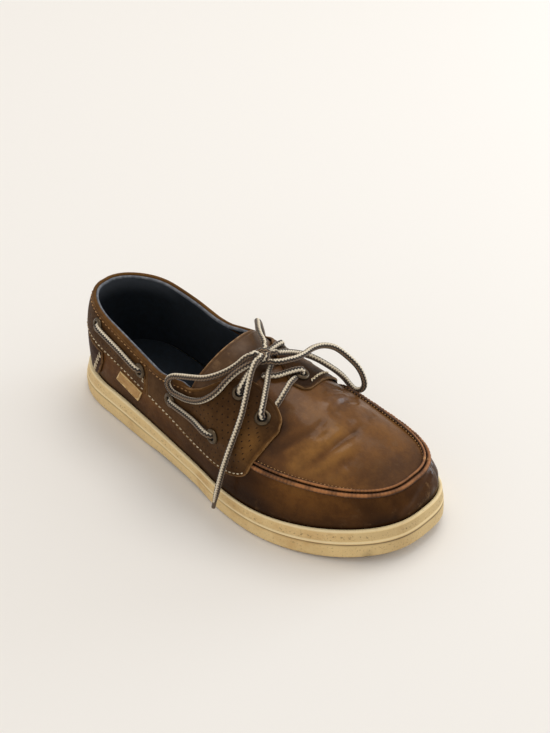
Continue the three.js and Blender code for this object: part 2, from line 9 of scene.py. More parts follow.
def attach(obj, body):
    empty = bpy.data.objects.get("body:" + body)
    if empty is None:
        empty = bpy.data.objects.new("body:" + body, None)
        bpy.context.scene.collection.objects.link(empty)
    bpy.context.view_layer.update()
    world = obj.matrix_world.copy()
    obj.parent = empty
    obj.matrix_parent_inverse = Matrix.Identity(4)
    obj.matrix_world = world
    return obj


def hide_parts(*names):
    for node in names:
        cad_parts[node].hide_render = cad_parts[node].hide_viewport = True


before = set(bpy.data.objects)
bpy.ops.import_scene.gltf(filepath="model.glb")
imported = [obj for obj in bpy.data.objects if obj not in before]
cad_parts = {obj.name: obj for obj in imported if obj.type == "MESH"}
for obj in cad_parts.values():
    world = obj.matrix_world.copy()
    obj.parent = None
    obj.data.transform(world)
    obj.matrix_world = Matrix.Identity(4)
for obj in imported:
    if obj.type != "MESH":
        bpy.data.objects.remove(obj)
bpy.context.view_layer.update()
mm = 0.001

# Camera
cameraSet = {"azimuth": 46.130, "elevation": 38.288, "roll": -2.793, "distance": 1078.9,
             "target": (-32.3, 64.3, 20.0), "lens": 73.41}


def makeCamera(cameraSet):
    # The camera looks along the direction given by azimuth and elevation; roll turns it about that line
    azimuth, elevation, roll = (math.radians(cameraSet[k]) for k in ("azimuth", "elevation", "roll"))
    back = Vector((math.sin(azimuth) * math.cos(elevation),
                   -math.cos(azimuth) * math.cos(elevation), math.sin(elevation)))
    across = Vector((0, 0, 1)).cross(back).normalized()
    up = back.cross(across)
    right = across * math.cos(roll) + up * math.sin(roll)
    rise = up * math.cos(roll) - across * math.sin(roll)
    data = bpy.data.cameras.new("studio_camera")
    data.lens = cameraSet["lens"]
    data.clip_end = 20
    camera = bpy.data.objects.new("studio_camera", data)
    turned = Matrix((right, rise, back)).transposed().to_4x4()
    turned.translation = (Vector(cameraSet["target"]) + back * cameraSet["distance"]) * mm
    camera.matrix_world = turned
    bpy.context.scene.collection.objects.link(camera)
    bpy.context.scene.camera = camera


makeCamera(cameraSet)
print("camera placed")

# The last, the form that every leather piece follows
originShift = (150.0, -1.21)     # from the heel of the sole to the middle of the object
soleTable = {
    "at": [0, 0.10, 0.22, 0.36, 0.50, 0.62, 0.72, 0.84, 1.0],
    "lateral": [35.5, 36.5, 39.5, 44.0, 49.5, 56.0, 58.5, 55.0, 47.0],
    "medial": [37.0, 38.5, 37.5, 34.5, 39.0, 46.5, 49.5, 49.0, 49.0],
    "rim": [22.0, 23.0, 22.5, 20.5, 19.0, 19.5, 21.0, 23.5, 29.0],
}
upperTable = {
    "at": [0, 0.15, 0.40, 0.55, 0.70, 0.85, 1.0],
    "swell": [2.5, 2.0, 1.2, 0.8, 0.8, 0.8, 0.8],
    "shoulder": [5.0, 4.0, 5.5, 6.5, 6.0, 8.0, 8.0],
    "top": [12.5, 9.0, 6.5, 7.5, 8.0, 8.5, 7.5],
    "topLateral": [80.0, 77.0, 67.5, 61.5, 55.5, 51.5, 47.5],
    "topMedial": [80.0, 78.0, 70.5, 65.5, 58.5, 52.5, 47.5],
    "ridge": [113.0, 113.0, 109.0, 98.0, 81.0, 66.5, 47.5],
}
domeTable = {
    "at": [0, 0.40, 0.60, 0.75, 1.0],
    "lean": [0.05, 0.05, 0.18, 0.33, 0.33],
    "rise": [0.55, 0.55, 0.60, 0.70, 0.70],
}


def curveOf(table, name):
    # Cubic Hermite pieces through one column; the slope at a row is that between its two neighbours
    at, values = np.array(table["at"], float), np.array(table[name], float)
    index = np.arange(len(at))
    before, after = np.maximum(index - 1, 0), np.minimum(index + 1, len(at) - 1)
    slope = (values[after] - values[before]) / (at[after] - at[before])

    def value(s):
        # Blend of the two rows on either side of s
        s = np.asarray(s, float)
        i = np.clip(np.searchsorted(at, s, side="right") - 1, 0, len(at) - 2)
        span = at[i + 1] - at[i]
        t = np.clip((s - at[i]) / span, 0, 1)
        return ((2 * t**3 - 3 * t**2 + 1) * values[i] + (t**3 - 2 * t**2 + t) * span * slope[i]
                + (3 * t**2 - 2 * t**3) * values[i + 1] + (t**3 - t**2) * span * slope[i + 1])
    return value


lateralHalf, medialHalf = curveOf(soleTable, "lateral"), curveOf(soleTable, "medial")
rimHeight = curveOf(soleTable, "rim")
swellInset, shoulderInset = curveOf(upperTable, "swell"), curveOf(upperTable, "shoulder")
topInset, ridgeHeight = curveOf(upperTable, "top"), curveOf(upperTable, "ridge")
topLateral, topMedial = curveOf(upperTable, "topLateral"), curveOf(upperTable, "topMedial")
domeLean, domeRise = curveOf(domeTable, "lean"), curveOf(domeTable, "rise")
rimInset = curveOf({"at": [0, 0.35, 1.0], "inset": [2.5, 1.5, 1.5]}, "inset")


def smooth(start, end, x):
    # 0 before start, 1 after end, 3t^2 - 2t^3 between
    t = np.clip((np.asarray(x, float) - start) / (end - start), 0, 1)
    return t * t * (3 - 2 * t)


def bell(x, width):
    # Gaussian hump of height 1
    return np.exp(-(np.asarray(x, float) / width) ** 2)


# Outline: share of the length that the round heel and toe take, how square they are, and the toe's swing inward
outlineSet = {"heelShare": 0.15, "heelPower": 2.3, "toeFrom": 0.7, "toeShare": 0.3, "toePower": 2.75,
              "swing": 14.5, "swingFrom": 0.55, "swingShare": 0.45, "swingPower": 1.6}


def ringPoint(s, side, inset, heel, toe, height):
    # x runs from heel to toe; y is the centre line plus the inset half width times the round ends
    half = np.where(side < 0, lateralHalf(s), medialHalf(s))
    heelPower, toePower = outlineSet["heelPower"], outlineSet["toePower"]
    fromHeel = np.clip((outlineSet["heelShare"] - s) / outlineSet["heelShare"], 0, 1)
    fromToe = np.clip((s - outlineSet["toeFrom"]) / outlineSet["toeShare"], 0, 1)
    heelShare = (1 - fromHeel ** heelPower) ** (1 / heelPower)
    toeShare = (1 - fromToe ** toePower) ** (1 / toePower)
    forward = np.maximum(0, (s - outlineSet["swingFrom"]) / outlineSet["swingShare"])
    centre = outlineSet["swing"] * forward ** outlineSet["swingPower"]
    y = centre + side * (half - inset) * heelShare * toeShare
    x = heel + s * (toe - heel)
    return np.stack(np.broadcast_arrays(x - originShift[0], y - originShift[1], height), -1)


def bezier(a, b, c, d, t):
    # Cubic Bezier between four rings
    t = t[..., None]
    u = 1 - t
    return u**3 * a + 3 * u * u * t * b + 3 * u * t * t * c + t**3 * d


def sideOf(turn):
    # Station from heel to toe, and -1 on the lateral side or 1 on the medial side
    wrapped = np.mod(turn, 2)
    return np.where(wrapped <= 1, wrapped, 2 - wrapped), np.where(wrapped <= 1, -1.0, 1.0)


# Rings of the wall: heel and toe ends, and inset or height where no table gives it
wallSet = {"seat": {"inset": 4.2, "heel": 9.0, "toe": 294.5, "below": 5},
           "swell": {"heel": 7.8, "toe": 299.5, "above": 6},
           "shoulder": {"heel": 5.0, "toe": 293.0, "share": 0.78}, "top": {"heel": 13.0, "toe": 286.5}}


def topLine(s, side):
    # Line where wall and top meet, at the inset and height of its side
    height = np.where(side < 0, topLateral(s), topMedial(s))
    return ringPoint(s, side, topInset(s), wallSet["top"]["heel"], wallSet["top"]["toe"], height)


def lastPoint(turn, level):
    # turn 0 to 1 is the lateral side from heel to toe and 1 to 2 the medial side back again;
    # level 0 to 1 climbs the wall as a Bezier of four rings, 1 to 2 crosses the top to the ridge
    turn, level = np.broadcast_arrays(np.asarray(turn, float), np.asarray(level, float))
    s, side = sideOf(turn)
    rim = rimHeight(s)
    top = topLine(s, side)
    seatRow, swellRow, shoulderRow = wallSet["seat"], wallSet["swell"], wallSet["shoulder"]
    seat = ringPoint(s, side, seatRow["inset"], seatRow["heel"], seatRow["toe"], rim - seatRow["below"])
    swell = ringPoint(s, side, swellInset(s), swellRow["heel"], swellRow["toe"], rim + swellRow["above"])
    shoulderHeight = rim + shoulderRow["share"] * (top[..., 2] - rim)
    shoulder = ringPoint(s, side, shoulderInset(s), shoulderRow["heel"], shoulderRow["toe"], shoulderHeight)
    wall = bezier(seat, swell, shoulder, top, np.clip(level, 0, 1))
    outer, inner = topLine(s, -1), topLine(s, 1)
    middle = np.maximum(ridgeHeight(s), (outer[..., 2] + inner[..., 2]) / 2)
    ridge = np.stack([top[..., 0], (outer[..., 1] + inner[..., 1]) / 2, middle], -1)
    span = ridge - top
    zero = np.zeros_like(s)
    low = top + np.stack([zero, domeLean(s) * span[..., 1], domeRise(s) * span[..., 2]], -1)
    high = top + np.stack([zero, 0.55 * span[..., 1], span[..., 2]], -1)
    dome = bezier(top, low, high, ridge, np.clip(level - 1, 0, 1))
    dome = np.where((s > 0.99999)[..., None], top, dome)
    return np.where((level <= 1)[..., None], wall, dome)


def unit(v):
    # Each vector divided by its length
    return v / np.maximum(np.linalg.norm(v, axis=-1, keepdims=True), 1e-12)


def lastNormal(turn, level):
    # Cross product of the steps along the turn and up the level; on the ridge it stays in the middle plane
    turn, level = np.broadcast_arrays(np.asarray(turn, float), np.asarray(level, float))
    s, side = sideOf(turn)
    tipped = np.where((s > 0.99999) & (level > 1), 1.0, level)
    along = lastPoint(turn + 0.002, tipped) - lastPoint(turn - 0.002, tipped)
    up = lastPoint(turn, np.minimum(tipped + 0.01, 2)) - lastPoint(turn, np.maximum(tipped - 0.01, 0))
    usual = unit(np.cross(along, up))
    back, front = lastPoint(s - 0.002, 2.0), lastPoint(np.minimum(s + 0.002, 1), 2.0)
    slope = front - back
    crown = unit(np.stack([-slope[..., 2], np.zeros_like(s), slope[..., 0]], -1))
    return np.where((level > 1.999)[..., None], crown, usual)


def offLast(turn, level, height):
    # Point of the last moved outward along the normal by the height
    height = np.asarray(height, float)
    return lastPoint(turn, level) + lastNormal(turn, level) * height[..., None]


def graded(count, ends=0.85):
    # 0 to 1 with closer steps at both ends: t minus a share of sin(2 pi t) / 2 pi
    t = np.linspace(0, 1, count)
    return t - ends * np.sin(2 * np.pi * t) / (2 * np.pi)


def sideStations(count):
    # 0 to 1 with closer steps at both ends: (1 - cos) / 2
    return (1 - np.cos(np.linspace(0, np.pi, count))) / 2


def ringTurns(count):
    # Full ring, heel to toe on the lateral side and back on the medial side, without a double point
    s = sideStations(count)
    return np.r_[s, 2 - s[-2:0:-1]]


def lengthsAlong(points, axis):
    # Distance walked along one axis of a grid of points
    step = np.linalg.norm(np.diff(points, axis=axis), axis=-1)
    zero = np.zeros_like(np.take(step, [0], axis=axis))
    return np.concatenate([zero, np.cumsum(step, axis=axis)], axis=axis)


def nearest(points, line):
    # Distance from every point to a dense line, and which of the line's points is nearest
    flat = points.reshape(-1, 3)
    distance, index = np.empty(len(flat)), np.empty(len(flat), int)
    for start in range(0, len(flat), 1500):
        part = flat[start:start + 1500]
        square = ((part[:, None, :] - line[None, :, :]) ** 2).sum(-1)
        index[start:start + 1500] = square.argmin(1)
        distance[start:start + 1500] = np.sqrt(square.min(1))
    return distance.reshape(points.shape[:-1]), index.reshape(points.shape[:-1])


def denser(line, times):
    # Straight in-between points on a line
    t = np.arange(len(line) * times - times + 1) / times
    return np.stack([np.interp(t, np.arange(len(line)), line[:, k]) for k in range(3)], -1)


def softWaves(points, size, seed):
    # Sum of five slow sine waves in fixed directions, between -1 and 1
    draw = np.random.default_rng(seed)
    total = np.zeros(points.shape[:-1])
    for share in (0.3, 0.25, 0.2, 0.15, 0.1):
        direction = draw.normal(size=3)
        direction /= np.linalg.norm(direction)
        total += share * np.sin(points @ direction * 2 * np.pi / (size * draw.uniform(0.6, 1.6))
                                + draw.uniform(0, 6.28))
    return total


# Meshes
def gridFaces(rows, columns, closeRows, closeColumns):
    # Quads of a grid of points, and the same quads on the grid before it is closed, for the UV
    i, j = np.meshgrid(np.arange(rows if closeRows else rows - 1),
                       np.arange(columns if closeColumns else columns - 1), indexing="ij")
    corner = [(i, j), (i + 1, j), (i + 1, j + 1), (i, j + 1)]
    faces = np.stack([(a % rows) * columns + b % columns for a, b in corner], -1).reshape(-1, 4)
    wide = columns + (1 if closeColumns else 0)
    spread = np.stack([a * wide + b for a, b in corner], -1).reshape(-1, 4)
    return faces, spread


mergeDistance, flatDistance = 2e-6, 1e-7     # metres


def meshObject(name, points, faces, uv=None, attributes=None, material=None, smoothShade=True):
    # points in millimetres; uv holds one pair for each face corner; doubles are merged, faces face out
    mesh = bpy.data.meshes.new(name)
    mesh.from_pydata((np.asarray(points).reshape(-1, 3) * mm).tolist(), [], faces.tolist())
    if uv is not None:
        layer = mesh.uv_layers.new(name="UVMap")
        layer.data.foreach_set("uv", np.asarray(uv, np.float32).ravel())
    for key, values in (attributes or {}).items():
        mesh.attributes.new(key, "FLOAT", "POINT").data.foreach_set(
            "value", np.asarray(values, np.float32).ravel())
    work = bmesh.new()
    work.from_mesh(mesh)
    bmesh.ops.remove_doubles(work, verts=work.verts, dist=mergeDistance)
    bmesh.ops.dissolve_degenerate(work, dist=flatDistance, edges=work.edges)
    bmesh.ops.recalc_face_normals(work, faces=work.faces)
    work.to_mesh(mesh)
    work.free()
    mesh.shade_smooth() if smoothShade else mesh.shade_flat()
    made = bpy.data.objects.new(name, mesh)
    bpy.context.scene.collection.objects.link(made)
    if material is not None:
        mesh.materials.append(material)
    return made


def dress(piece, slotName, *nodes):
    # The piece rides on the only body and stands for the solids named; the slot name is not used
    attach(piece, "root")
    if nodes:
        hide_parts(*nodes)
    return piece


def outlineOf(grid):
    # Closed line round a grid of points
    return np.concatenate([grid[:, 0], grid[-1, 1:], grid[-2::-1, -1], grid[0, -2:0:-1], grid[:1, 0]])


def leatherSheet(name, turns, levels, under, settings, material, bump=None):
    # Closed sheet on the last: the underside at height under, the top higher by the thickness times
    # the round edge sqrt(1 - (1 - d / r)^2), d being the distance to the outline and r the edge radius
    base = offLast(turns, levels, under)
    up = lastNormal(turns, levels)
    edge, _ = nearest(base, denser(outlineOf(base), 6))
    share = np.sqrt(1 - (1 - np.clip(edge / settings["edgeRadius"], 0, 1)) ** 2)
    lift = settings["thickness"] * share
    if bump is not None:
        lift = lift + bump(base, edge) * share
    top = base + up * lift[..., None]
    rows, columns = base.shape[:2]
    faces, _ = gridFaces(rows, columns, False, False)
    allFaces = np.concatenate([faces, faces[:, ::-1] + rows * columns])
    length, width = lengthsAlong(base[:, columns // 2], 0), lengthsAlong(base, 1)
    uvGrid = np.stack([np.broadcast_to(length[:, None], width.shape), width], -1).reshape(-1, 2)
    uv = np.concatenate([uvGrid, uvGrid])[allFaces]
    tone, rub = settings["paint"](turns, levels, base, edge) if "paint" in settings else (
        np.zeros_like(edge), np.zeros_like(edge))
    attributes = {key: np.concatenate([value.ravel(), value.ravel()]) for key, value in
                  (("edge", edge), ("tone", tone), ("rub", rub))}
    points = np.concatenate([top.reshape(-1, 3), base.reshape(-1, 3)])
    return meshObject(name, points, allFaces, uv * mm, attributes, material)


def smoothPath(points, step):
    # Centripetal Catmull-Rom curve through the points, walked in equal steps of length
    p = np.asarray(points, float)
    t = np.r_[0, np.cumsum(np.sqrt(np.linalg.norm(np.diff(p, axis=0), axis=1)))]
    chord = np.diff(p, axis=0) / np.diff(t)[:, None]
    slope = np.empty_like(p)
    wide = (p[2:] - p[:-2]) / (t[2:] - t[:-2])[:, None]
    slope[1:-1] = chord[:-1] - wide + chord[1:]
    slope[0], slope[-1] = chord[0], chord[-1]
    fine = np.linspace(t[0], t[-1], 60 * len(p))
    i = np.clip(np.searchsorted(t, fine, side="right") - 1, 0, len(p) - 2)
    h = (t[i + 1] - t[i])[:, None]
    u = (fine - t[i])[:, None] / h
    line = ((2 * u**3 - 3 * u**2 + 1) * p[i] + (u**3 - 2 * u**2 + u) * h * slope[i]
            + (3 * u**2 - 2 * u**3) * p[i + 1] + (u**3 - u**2) * h * slope[i + 1])
    walked = lengthsAlong(line, 0)
    even = np.linspace(0, walked[-1], max(4, int(round(walked[-1] / step)) + 1))
    return np.stack([np.interp(even, walked, line[:, k]) for k in range(3)], -1)


def pathFrames(path, closed=False, start=(0.13, 0.21, 1.0)):
    # Tangent at each point, and two directions across it carried along with the least turning
    tangent = unit(np.roll(path, -1, 0) - np.roll(path, 1, 0) if closed else np.gradient(path, axis=0))
    first = np.empty_like(path)
    ahead = np.asarray(start, float)
    for k in range(len(path)):
        ahead = ahead - tangent[k] * (ahead @ tangent[k])
        ahead = ahead / np.linalg.norm(ahead)
        first[k] = ahead
    return tangent, first, np.cross(tangent, first)


def tubeObject(name, path, radius, material, sides=14, closed=False, taper=None, frames=None, flat=1.0):
    # Circle (or ellipse, flat = height over width) carried along the path; ends drawn in to a round tip
    tangent, first, second = frames if frames is not None else pathFrames(path, closed)
    angle = np.linspace(0, 2 * np.pi, sides, endpoint=False)
    size = np.full(len(path), float(radius)) if taper is None else radius * taper
    walked = lengthsAlong(path, 0)
    if not closed:
        size = size.copy()
        size[[0, -1]] = 1e-4
        path = path.copy()
    ring = (np.cos(angle)[None, :, None] * first[:, None]
            + flat * np.sin(angle)[None, :, None] * second[:, None])
    points = path[:, None] + size[:, None, None] * ring
    faces, spread = gridFaces(len(path), sides, closed, True)
    rows = len(path) + (1 if closed else 0)
    reach = np.r_[walked, walked[-1] + np.linalg.norm(path[0] - path[-1])] if closed else walked
    around = np.arange(sides + 1) / sides
    uvGrid = np.stack(np.broadcast_arrays(around[None, :], reach[:rows, None] * mm * 100), -1).reshape(-1, 2)
    return meshObject(name, points, faces, uvGrid[spread], None, material)


def roundEnds(path, radius):
    # Adds two close points at each end so that a tube ends in a small dome
    tangentA, tangentB = unit(path[1] - path[0]), unit(path[-1] - path[-2])
    return np.concatenate([[path[0] - tangentA * radius * 0.45], [path[0] - tangentA * radius * 0.3], path,
                           [path[-1] + tangentB * radius * 0.3], [path[-1] + tangentB * radius * 0.45]])


def stitchObject(name, starts, ends, normals, radius, material, sink=0.25):
    # Every stitch is a thread of five rings between two holes, bowed up by half a radius in its middle
    rings, sides = 5, 6
    t = np.linspace(0, 1, rings)
    angle = np.linspace(0, 2 * np.pi, sides, endpoint=False)
    along = unit(ends - starts)
    across = unit(np.cross(normals, along))
    bow = np.sin(np.pi * t) * (radius * 0.5 + sink) - sink
    middle = (starts[:, None] + (ends - starts)[:, None] * t[None, :, None]
              + normals[:, None] * bow[None, :, None])
    size = radius * np.array([0.02, 0.85, 1.0, 0.85, 0.02])
    ring = (np.cos(angle)[None, None, :, None] * across[:, None, None]
            + np.sin(angle)[None, None, :, None] * normals[:, None, None])
    points = middle[:, :, None] + size[None, :, None, None] * ring
    one, _ = gridFaces(rings, sides, False, True)
    faces = (one[None] + (np.arange(len(starts)) * rings * sides)[:, None, None]).reshape(-1, 4)
    mesh = bpy.data.meshes.new(name)
    mesh.from_pydata((points.reshape(-1, 3) * mm).tolist(), [], faces.tolist())
    mesh.shade_smooth()
    mesh.materials.append(material)
    made = bpy.data.objects.new(name, mesh)
    bpy.context.scene.collection.objects.link(made)
    return made


def stitchRow(turns, levels, heights, pitch, gapShare=0.3):
    # Starts, ends and normals of stitches laid end to end along a line on the last
    line = offLast(turns, levels, heights)
    normal = lastNormal(turns, levels)
    walked = lengthsAlong(line, 0)
    count = max(1, int(walked[-1] / pitch))
    begin = (np.arange(count) + gapShare / 2) * pitch
    finish = begin + pitch * (1 - gapShare)
    pick = lambda where, of: np.stack([np.interp(where, walked, of[:, k]) for k in range(3)], -1)
    return pick(begin, line), pick(finish, line), unit(pick((begin + finish) / 2, normal))


def joinRows(rows):
    # Several rows as one: all starts, all ends, all normals
    return tuple(np.concatenate(parts) for parts in zip(*rows))


# Material building
def paint(red, green, blue):
    # Screen colour to the light values that the shaders use
    c = np.array([red, green, blue]) / 255
    linear = np.where(c <= 0.04045, c / 12.92, ((c + 0.055) / 1.055) ** 2.4)
    return (*linear.tolist(), 1.0)


def addNode(tree, kind, inputs=None, **settings):
    # New node with its settings; every input is linked or given its value
    made = tree.nodes.new(kind)
    for key, value in settings.items():
        setattr(made, key, value)
    for key, value in (inputs or {}).items():
        if isinstance(value, bpy.types.NodeSocket):
            tree.links.new(value, made.inputs[key])
        else:
            made.inputs[key].default_value = value
    return made


def newGroup(name, inputs, outputs):
    # Empty node group with the sockets listed
    tree = bpy.data.node_groups.new(name, "ShaderNodeTree")
    for key, kind, value in inputs:
        socket = tree.interface.new_socket(key, in_out="INPUT", socket_type=kind)
        if value is not None:
            socket.default_value = value
    for key, kind in outputs:
        tree.interface.new_socket(key, in_out="OUTPUT", socket_type=kind)
    return tree, tree.nodes.new("NodeGroupInput"), tree.nodes.new("NodeGroupOutput")


def mathNode(tree, operation, a, b=None, clamp=False):
    # One operation on sockets or numbers
    made = tree.nodes.new("ShaderNodeMath")
    made.operation, made.use_clamp = operation, clamp
    for socket, value in zip(made.inputs, (a, b)):
        if isinstance(value, bpy.types.NodeSocket):
            tree.links.new(value, socket)
        elif value is not None:
            socket.default_value = value
    return made.outputs[0]


def rangeNode(tree, value, low, high, outLow=0.0, outHigh=1.0, curve="SMOOTHSTEP"):
    # Low to high carried over to outLow to outHigh along 3t^2 - 2t^3
    made = addNode(tree, "ShaderNodeMapRange", {"From Min": low, "From Max": high, "To Min": outLow,
                                                "To Max": outHigh, "Value": value},
                   interpolation_type=curve)
    return made.outputs["Result"]


def mixColour(tree, factor, a, b, blend="MIX"):
    # Colour a where the factor is 0, colour b where it is 1
    made = tree.nodes.new("ShaderNodeMix")
    made.data_type, made.blend_type = "RGBA", blend
    for socket, value in ((made.inputs[0], factor), (made.inputs[6], a), (made.inputs[7], b)):
        if isinstance(value, bpy.types.NodeSocket):
            tree.links.new(value, socket)
        else:
            socket.default_value = value
    return made.outputs[2]


def useGroup(tree, group, **values):
    # Node that uses a group with the values given
    made = tree.nodes.new("ShaderNodeGroup")
    made.node_tree = group
    for key, value in values.items():
        if isinstance(value, bpy.types.NodeSocket):
            tree.links.new(value, made.inputs[key])
        else:
            made.inputs[key].default_value = value
    return made.outputs


def makeGrain():
    # Fine pebbles with hairline wrinkles, and slow and quick mottles of the dye
    tree, ins, outs = newGroup("leather grain",
                               [("Vector", "NodeSocketVector", None), ("Pebble", "NodeSocketFloat", 900.0)],
                               [("Height", "NodeSocketFloat"), ("Mottle", "NodeSocketFloat"),
                                ("Scuff", "NodeSocketFloat")])
    pebble = addNode(tree, "ShaderNodeTexVoronoi",
                     {"Vector": ins.outputs["Vector"], "Scale": ins.outputs["Pebble"]})
    fine = addNode(tree, "ShaderNodeTexNoise",
                   {"Vector": ins.outputs["Vector"], "Scale": 420.0, "Detail": 4.0, "Roughness": 0.6})
    wrinkle = addNode(tree, "ShaderNodeTexNoise",
                      {"Vector": ins.outputs["Vector"], "Scale": 130.0, "Detail": 3.0, "Distortion": 1.2})
    slow = addNode(tree, "ShaderNodeTexNoise",
                   {"Vector": ins.outputs["Vector"], "Scale": 26.0, "Detail": 4.0, "Roughness": 0.55})
    scuff = addNode(tree, "ShaderNodeTexNoise",
                    {"Vector": ins.outputs["Vector"], "Scale": 75.0, "Detail": 6.0, "Roughness": 0.7})
    height = mathNode(tree, "ADD", mathNode(tree, "MULTIPLY", pebble.outputs["Distance"], 0.35),
                      mathNode(tree, "MULTIPLY", fine.outputs["Fac"], 0.7))
    tree.links.new(mathNode(tree, "ADD", height, mathNode(tree, "MULTIPLY", wrinkle.outputs["Fac"], 0.8)),
                   outs.inputs["Height"])
    quick = addNode(tree, "ShaderNodeTexNoise",
                    {"Vector": ins.outputs["Vector"], "Scale": 150.0, "Detail": 6.0, "Roughness": 0.7})
    both = mathNode(tree, "ADD", mathNode(tree, "MULTIPLY", slow.outputs["Fac"], 0.5),
                    mathNode(tree, "MULTIPLY", quick.outputs["Fac"], 0.5))
    tree.links.new(rangeNode(tree, both, 0.38, 0.62), outs.inputs["Mottle"])
    tree.links.new(rangeNode(tree, scuff.outputs["Fac"], 0.56, 0.74), outs.inputs["Scuff"])
    return tree


def makeWear():
    # Rubbed edge: strongest on the outline, broken up by noise, gone a given distance in
    tree, ins, outs = newGroup("rubbed edge",
                               [("Vector", "NodeSocketVector", None), ("Edge", "NodeSocketFloat", 0.0),
                                ("Width", "NodeSocketFloat", 1.2)], [("Mask", "NodeSocketFloat")])
    noise = addNode(tree, "ShaderNodeTexNoise",
                    {"Vector": ins.outputs["Vector"], "Scale": 260.0, "Detail": 3.0})
    share = mathNode(tree, "DIVIDE", ins.outputs["Edge"], ins.outputs["Width"])
    ragged = mathNode(tree, "ADD", share, rangeNode(tree, noise.outputs["Fac"], 0.35, 0.65, -0.45, 0.45))
    tree.links.new(rangeNode(tree, ragged, 0.55, 1.05, 1.0, 0.0), outs.inputs["Mask"])
    return tree


def makePunch():
    # Rows of round holes on a UV map in metres, every second row moved by half a step
    tree, ins, outs = newGroup("punched holes",
                               [("UV", "NodeSocketVector", None), ("Pitch", "NodeSocketFloat", 0.004),
                                ("Radius", "NodeSocketFloat", 0.11)], [("Mask", "NodeSocketFloat")])
    split = addNode(tree, "ShaderNodeSeparateXYZ", {"Vector": ins.outputs["UV"]})
    v = mathNode(tree, "DIVIDE", split.outputs["Y"], ins.outputs["Pitch"])
    row = mathNode(tree, "FLOOR", v)
    shift = mathNode(tree, "MULTIPLY", mathNode(tree, "MODULO", row, 2.0), 0.5)
    u = mathNode(tree, "ADD", mathNode(tree, "DIVIDE", split.outputs["X"], ins.outputs["Pitch"]), shift)
    du = mathNode(tree, "SUBTRACT", mathNode(tree, "FRACT", u), 0.5)
    dv = mathNode(tree, "SUBTRACT", mathNode(tree, "FRACT", v), 0.5)
    away = mathNode(tree, "SQRT", mathNode(tree, "ADD", mathNode(tree, "MULTIPLY", du, du),
                                           mathNode(tree, "MULTIPLY", dv, dv)))
    inner = mathNode(tree, "MULTIPLY", ins.outputs["Radius"], 0.7)
    outer = mathNode(tree, "MULTIPLY", ins.outputs["Radius"], 1.3)
    tree.links.new(rangeNode(tree, away, inner, outer, 1.0, 0.0), outs.inputs["Mask"])
    return tree


def makeCloth():
    # Plain weave on object coordinates: crossed sine ridges, and lint
    tree, ins, outs = newGroup("cloth weave",
                               [("Vector", "NodeSocketVector", None), ("Threads", "NodeSocketFloat", 1100.0)],
                               [("Height", "NodeSocketFloat"), ("Shade", "NodeSocketFloat")])
    scaled = addNode(tree, "ShaderNodeVectorMath", {0: ins.outputs["Vector"]}, operation="SCALE")
    tree.links.new(ins.outputs["Threads"], scaled.inputs["Scale"])
    split = addNode(tree, "ShaderNodeSeparateXYZ", {"Vector": scaled.outputs[0]})
    first = mathNode(tree, "SINE", mathNode(tree, "MULTIPLY",
                                            mathNode(tree, "ADD", split.outputs["X"], split.outputs["Z"]),
                                            3.14))
    second = mathNode(tree, "SINE", mathNode(tree, "MULTIPLY",
                                             mathNode(tree, "SUBTRACT", split.outputs["Y"],
                                                      split.outputs["Z"]), 3.14))
    lint = addNode(tree, "ShaderNodeTexNoise", {"Vector": ins.outputs["Vector"], "Scale": 300.0, "Detail": 5.0})
    tree.links.new(mathNode(tree, "ADD", mathNode(tree, "MULTIPLY", first, second), lint.outputs["Fac"]),
                   outs.inputs["Height"])
    tree.links.new(rangeNode(tree, lint.outputs["Fac"], 0.35, 0.7), outs.inputs["Shade"])
    return tree


def makeDirt():
    # Grime in patches, with specks
    tree, ins, outs = newGroup("grime_and_shade", [("Vector", "NodeSocketVector", None),
                                         ("Patch", "NodeSocketFloat", 55.0)],
                               [("Patches", "NodeSocketFloat"), ("Specks", "NodeSocketFloat")])
    patch = addNode(tree, "ShaderNodeTexNoise",
                    {"Vector": ins.outputs["Vector"], "Scale": ins.outputs["Patch"], "Detail": 5.0,
                     "Roughness": 0.65})
    speck = addNode(tree, "ShaderNodeTexNoise",
                    {"Vector": ins.outputs["Vector"], "Scale": 700.0, "Detail": 2.0})
    tree.links.new(rangeNode(tree, patch.outputs["Fac"], 0.45, 0.72), outs.inputs["Patches"])
    tree.links.new(rangeNode(tree, speck.outputs["Fac"], 0.58, 0.72), outs.inputs["Specks"])
    return tree


grainGroup, wearGroup, punchGroup = makeGrain(), makeWear(), makePunch()
clothGroup, dirtGroup = makeCloth(), makeDirt()


def newMaterial(name):
    # Bare material, its shader and the object's own coordinates
    material = bpy.data.materials.new(name)
    material.use_nodes = True
    tree = material.node_tree
    shader = tree.nodes["Principled BSDF"]
    objectPlace = addNode(tree, "ShaderNodeTexCoord").outputs["Object"]
    return material, tree, shader, objectPlace


def attributeOf(tree, name):
    # Value stored on the points under the name
    return addNode(tree, "ShaderNodeAttribute", attribute_name=name).outputs["Fac"]


def bumpInto(tree, shader, height, strength, distance):
    # Height turned into a tilt of the normal
    bump = addNode(tree, "ShaderNodeBump", {"Height": height, "Strength": strength, "Distance": distance})
    tree.links.new(bump.outputs["Normal"], shader.inputs["Normal"])


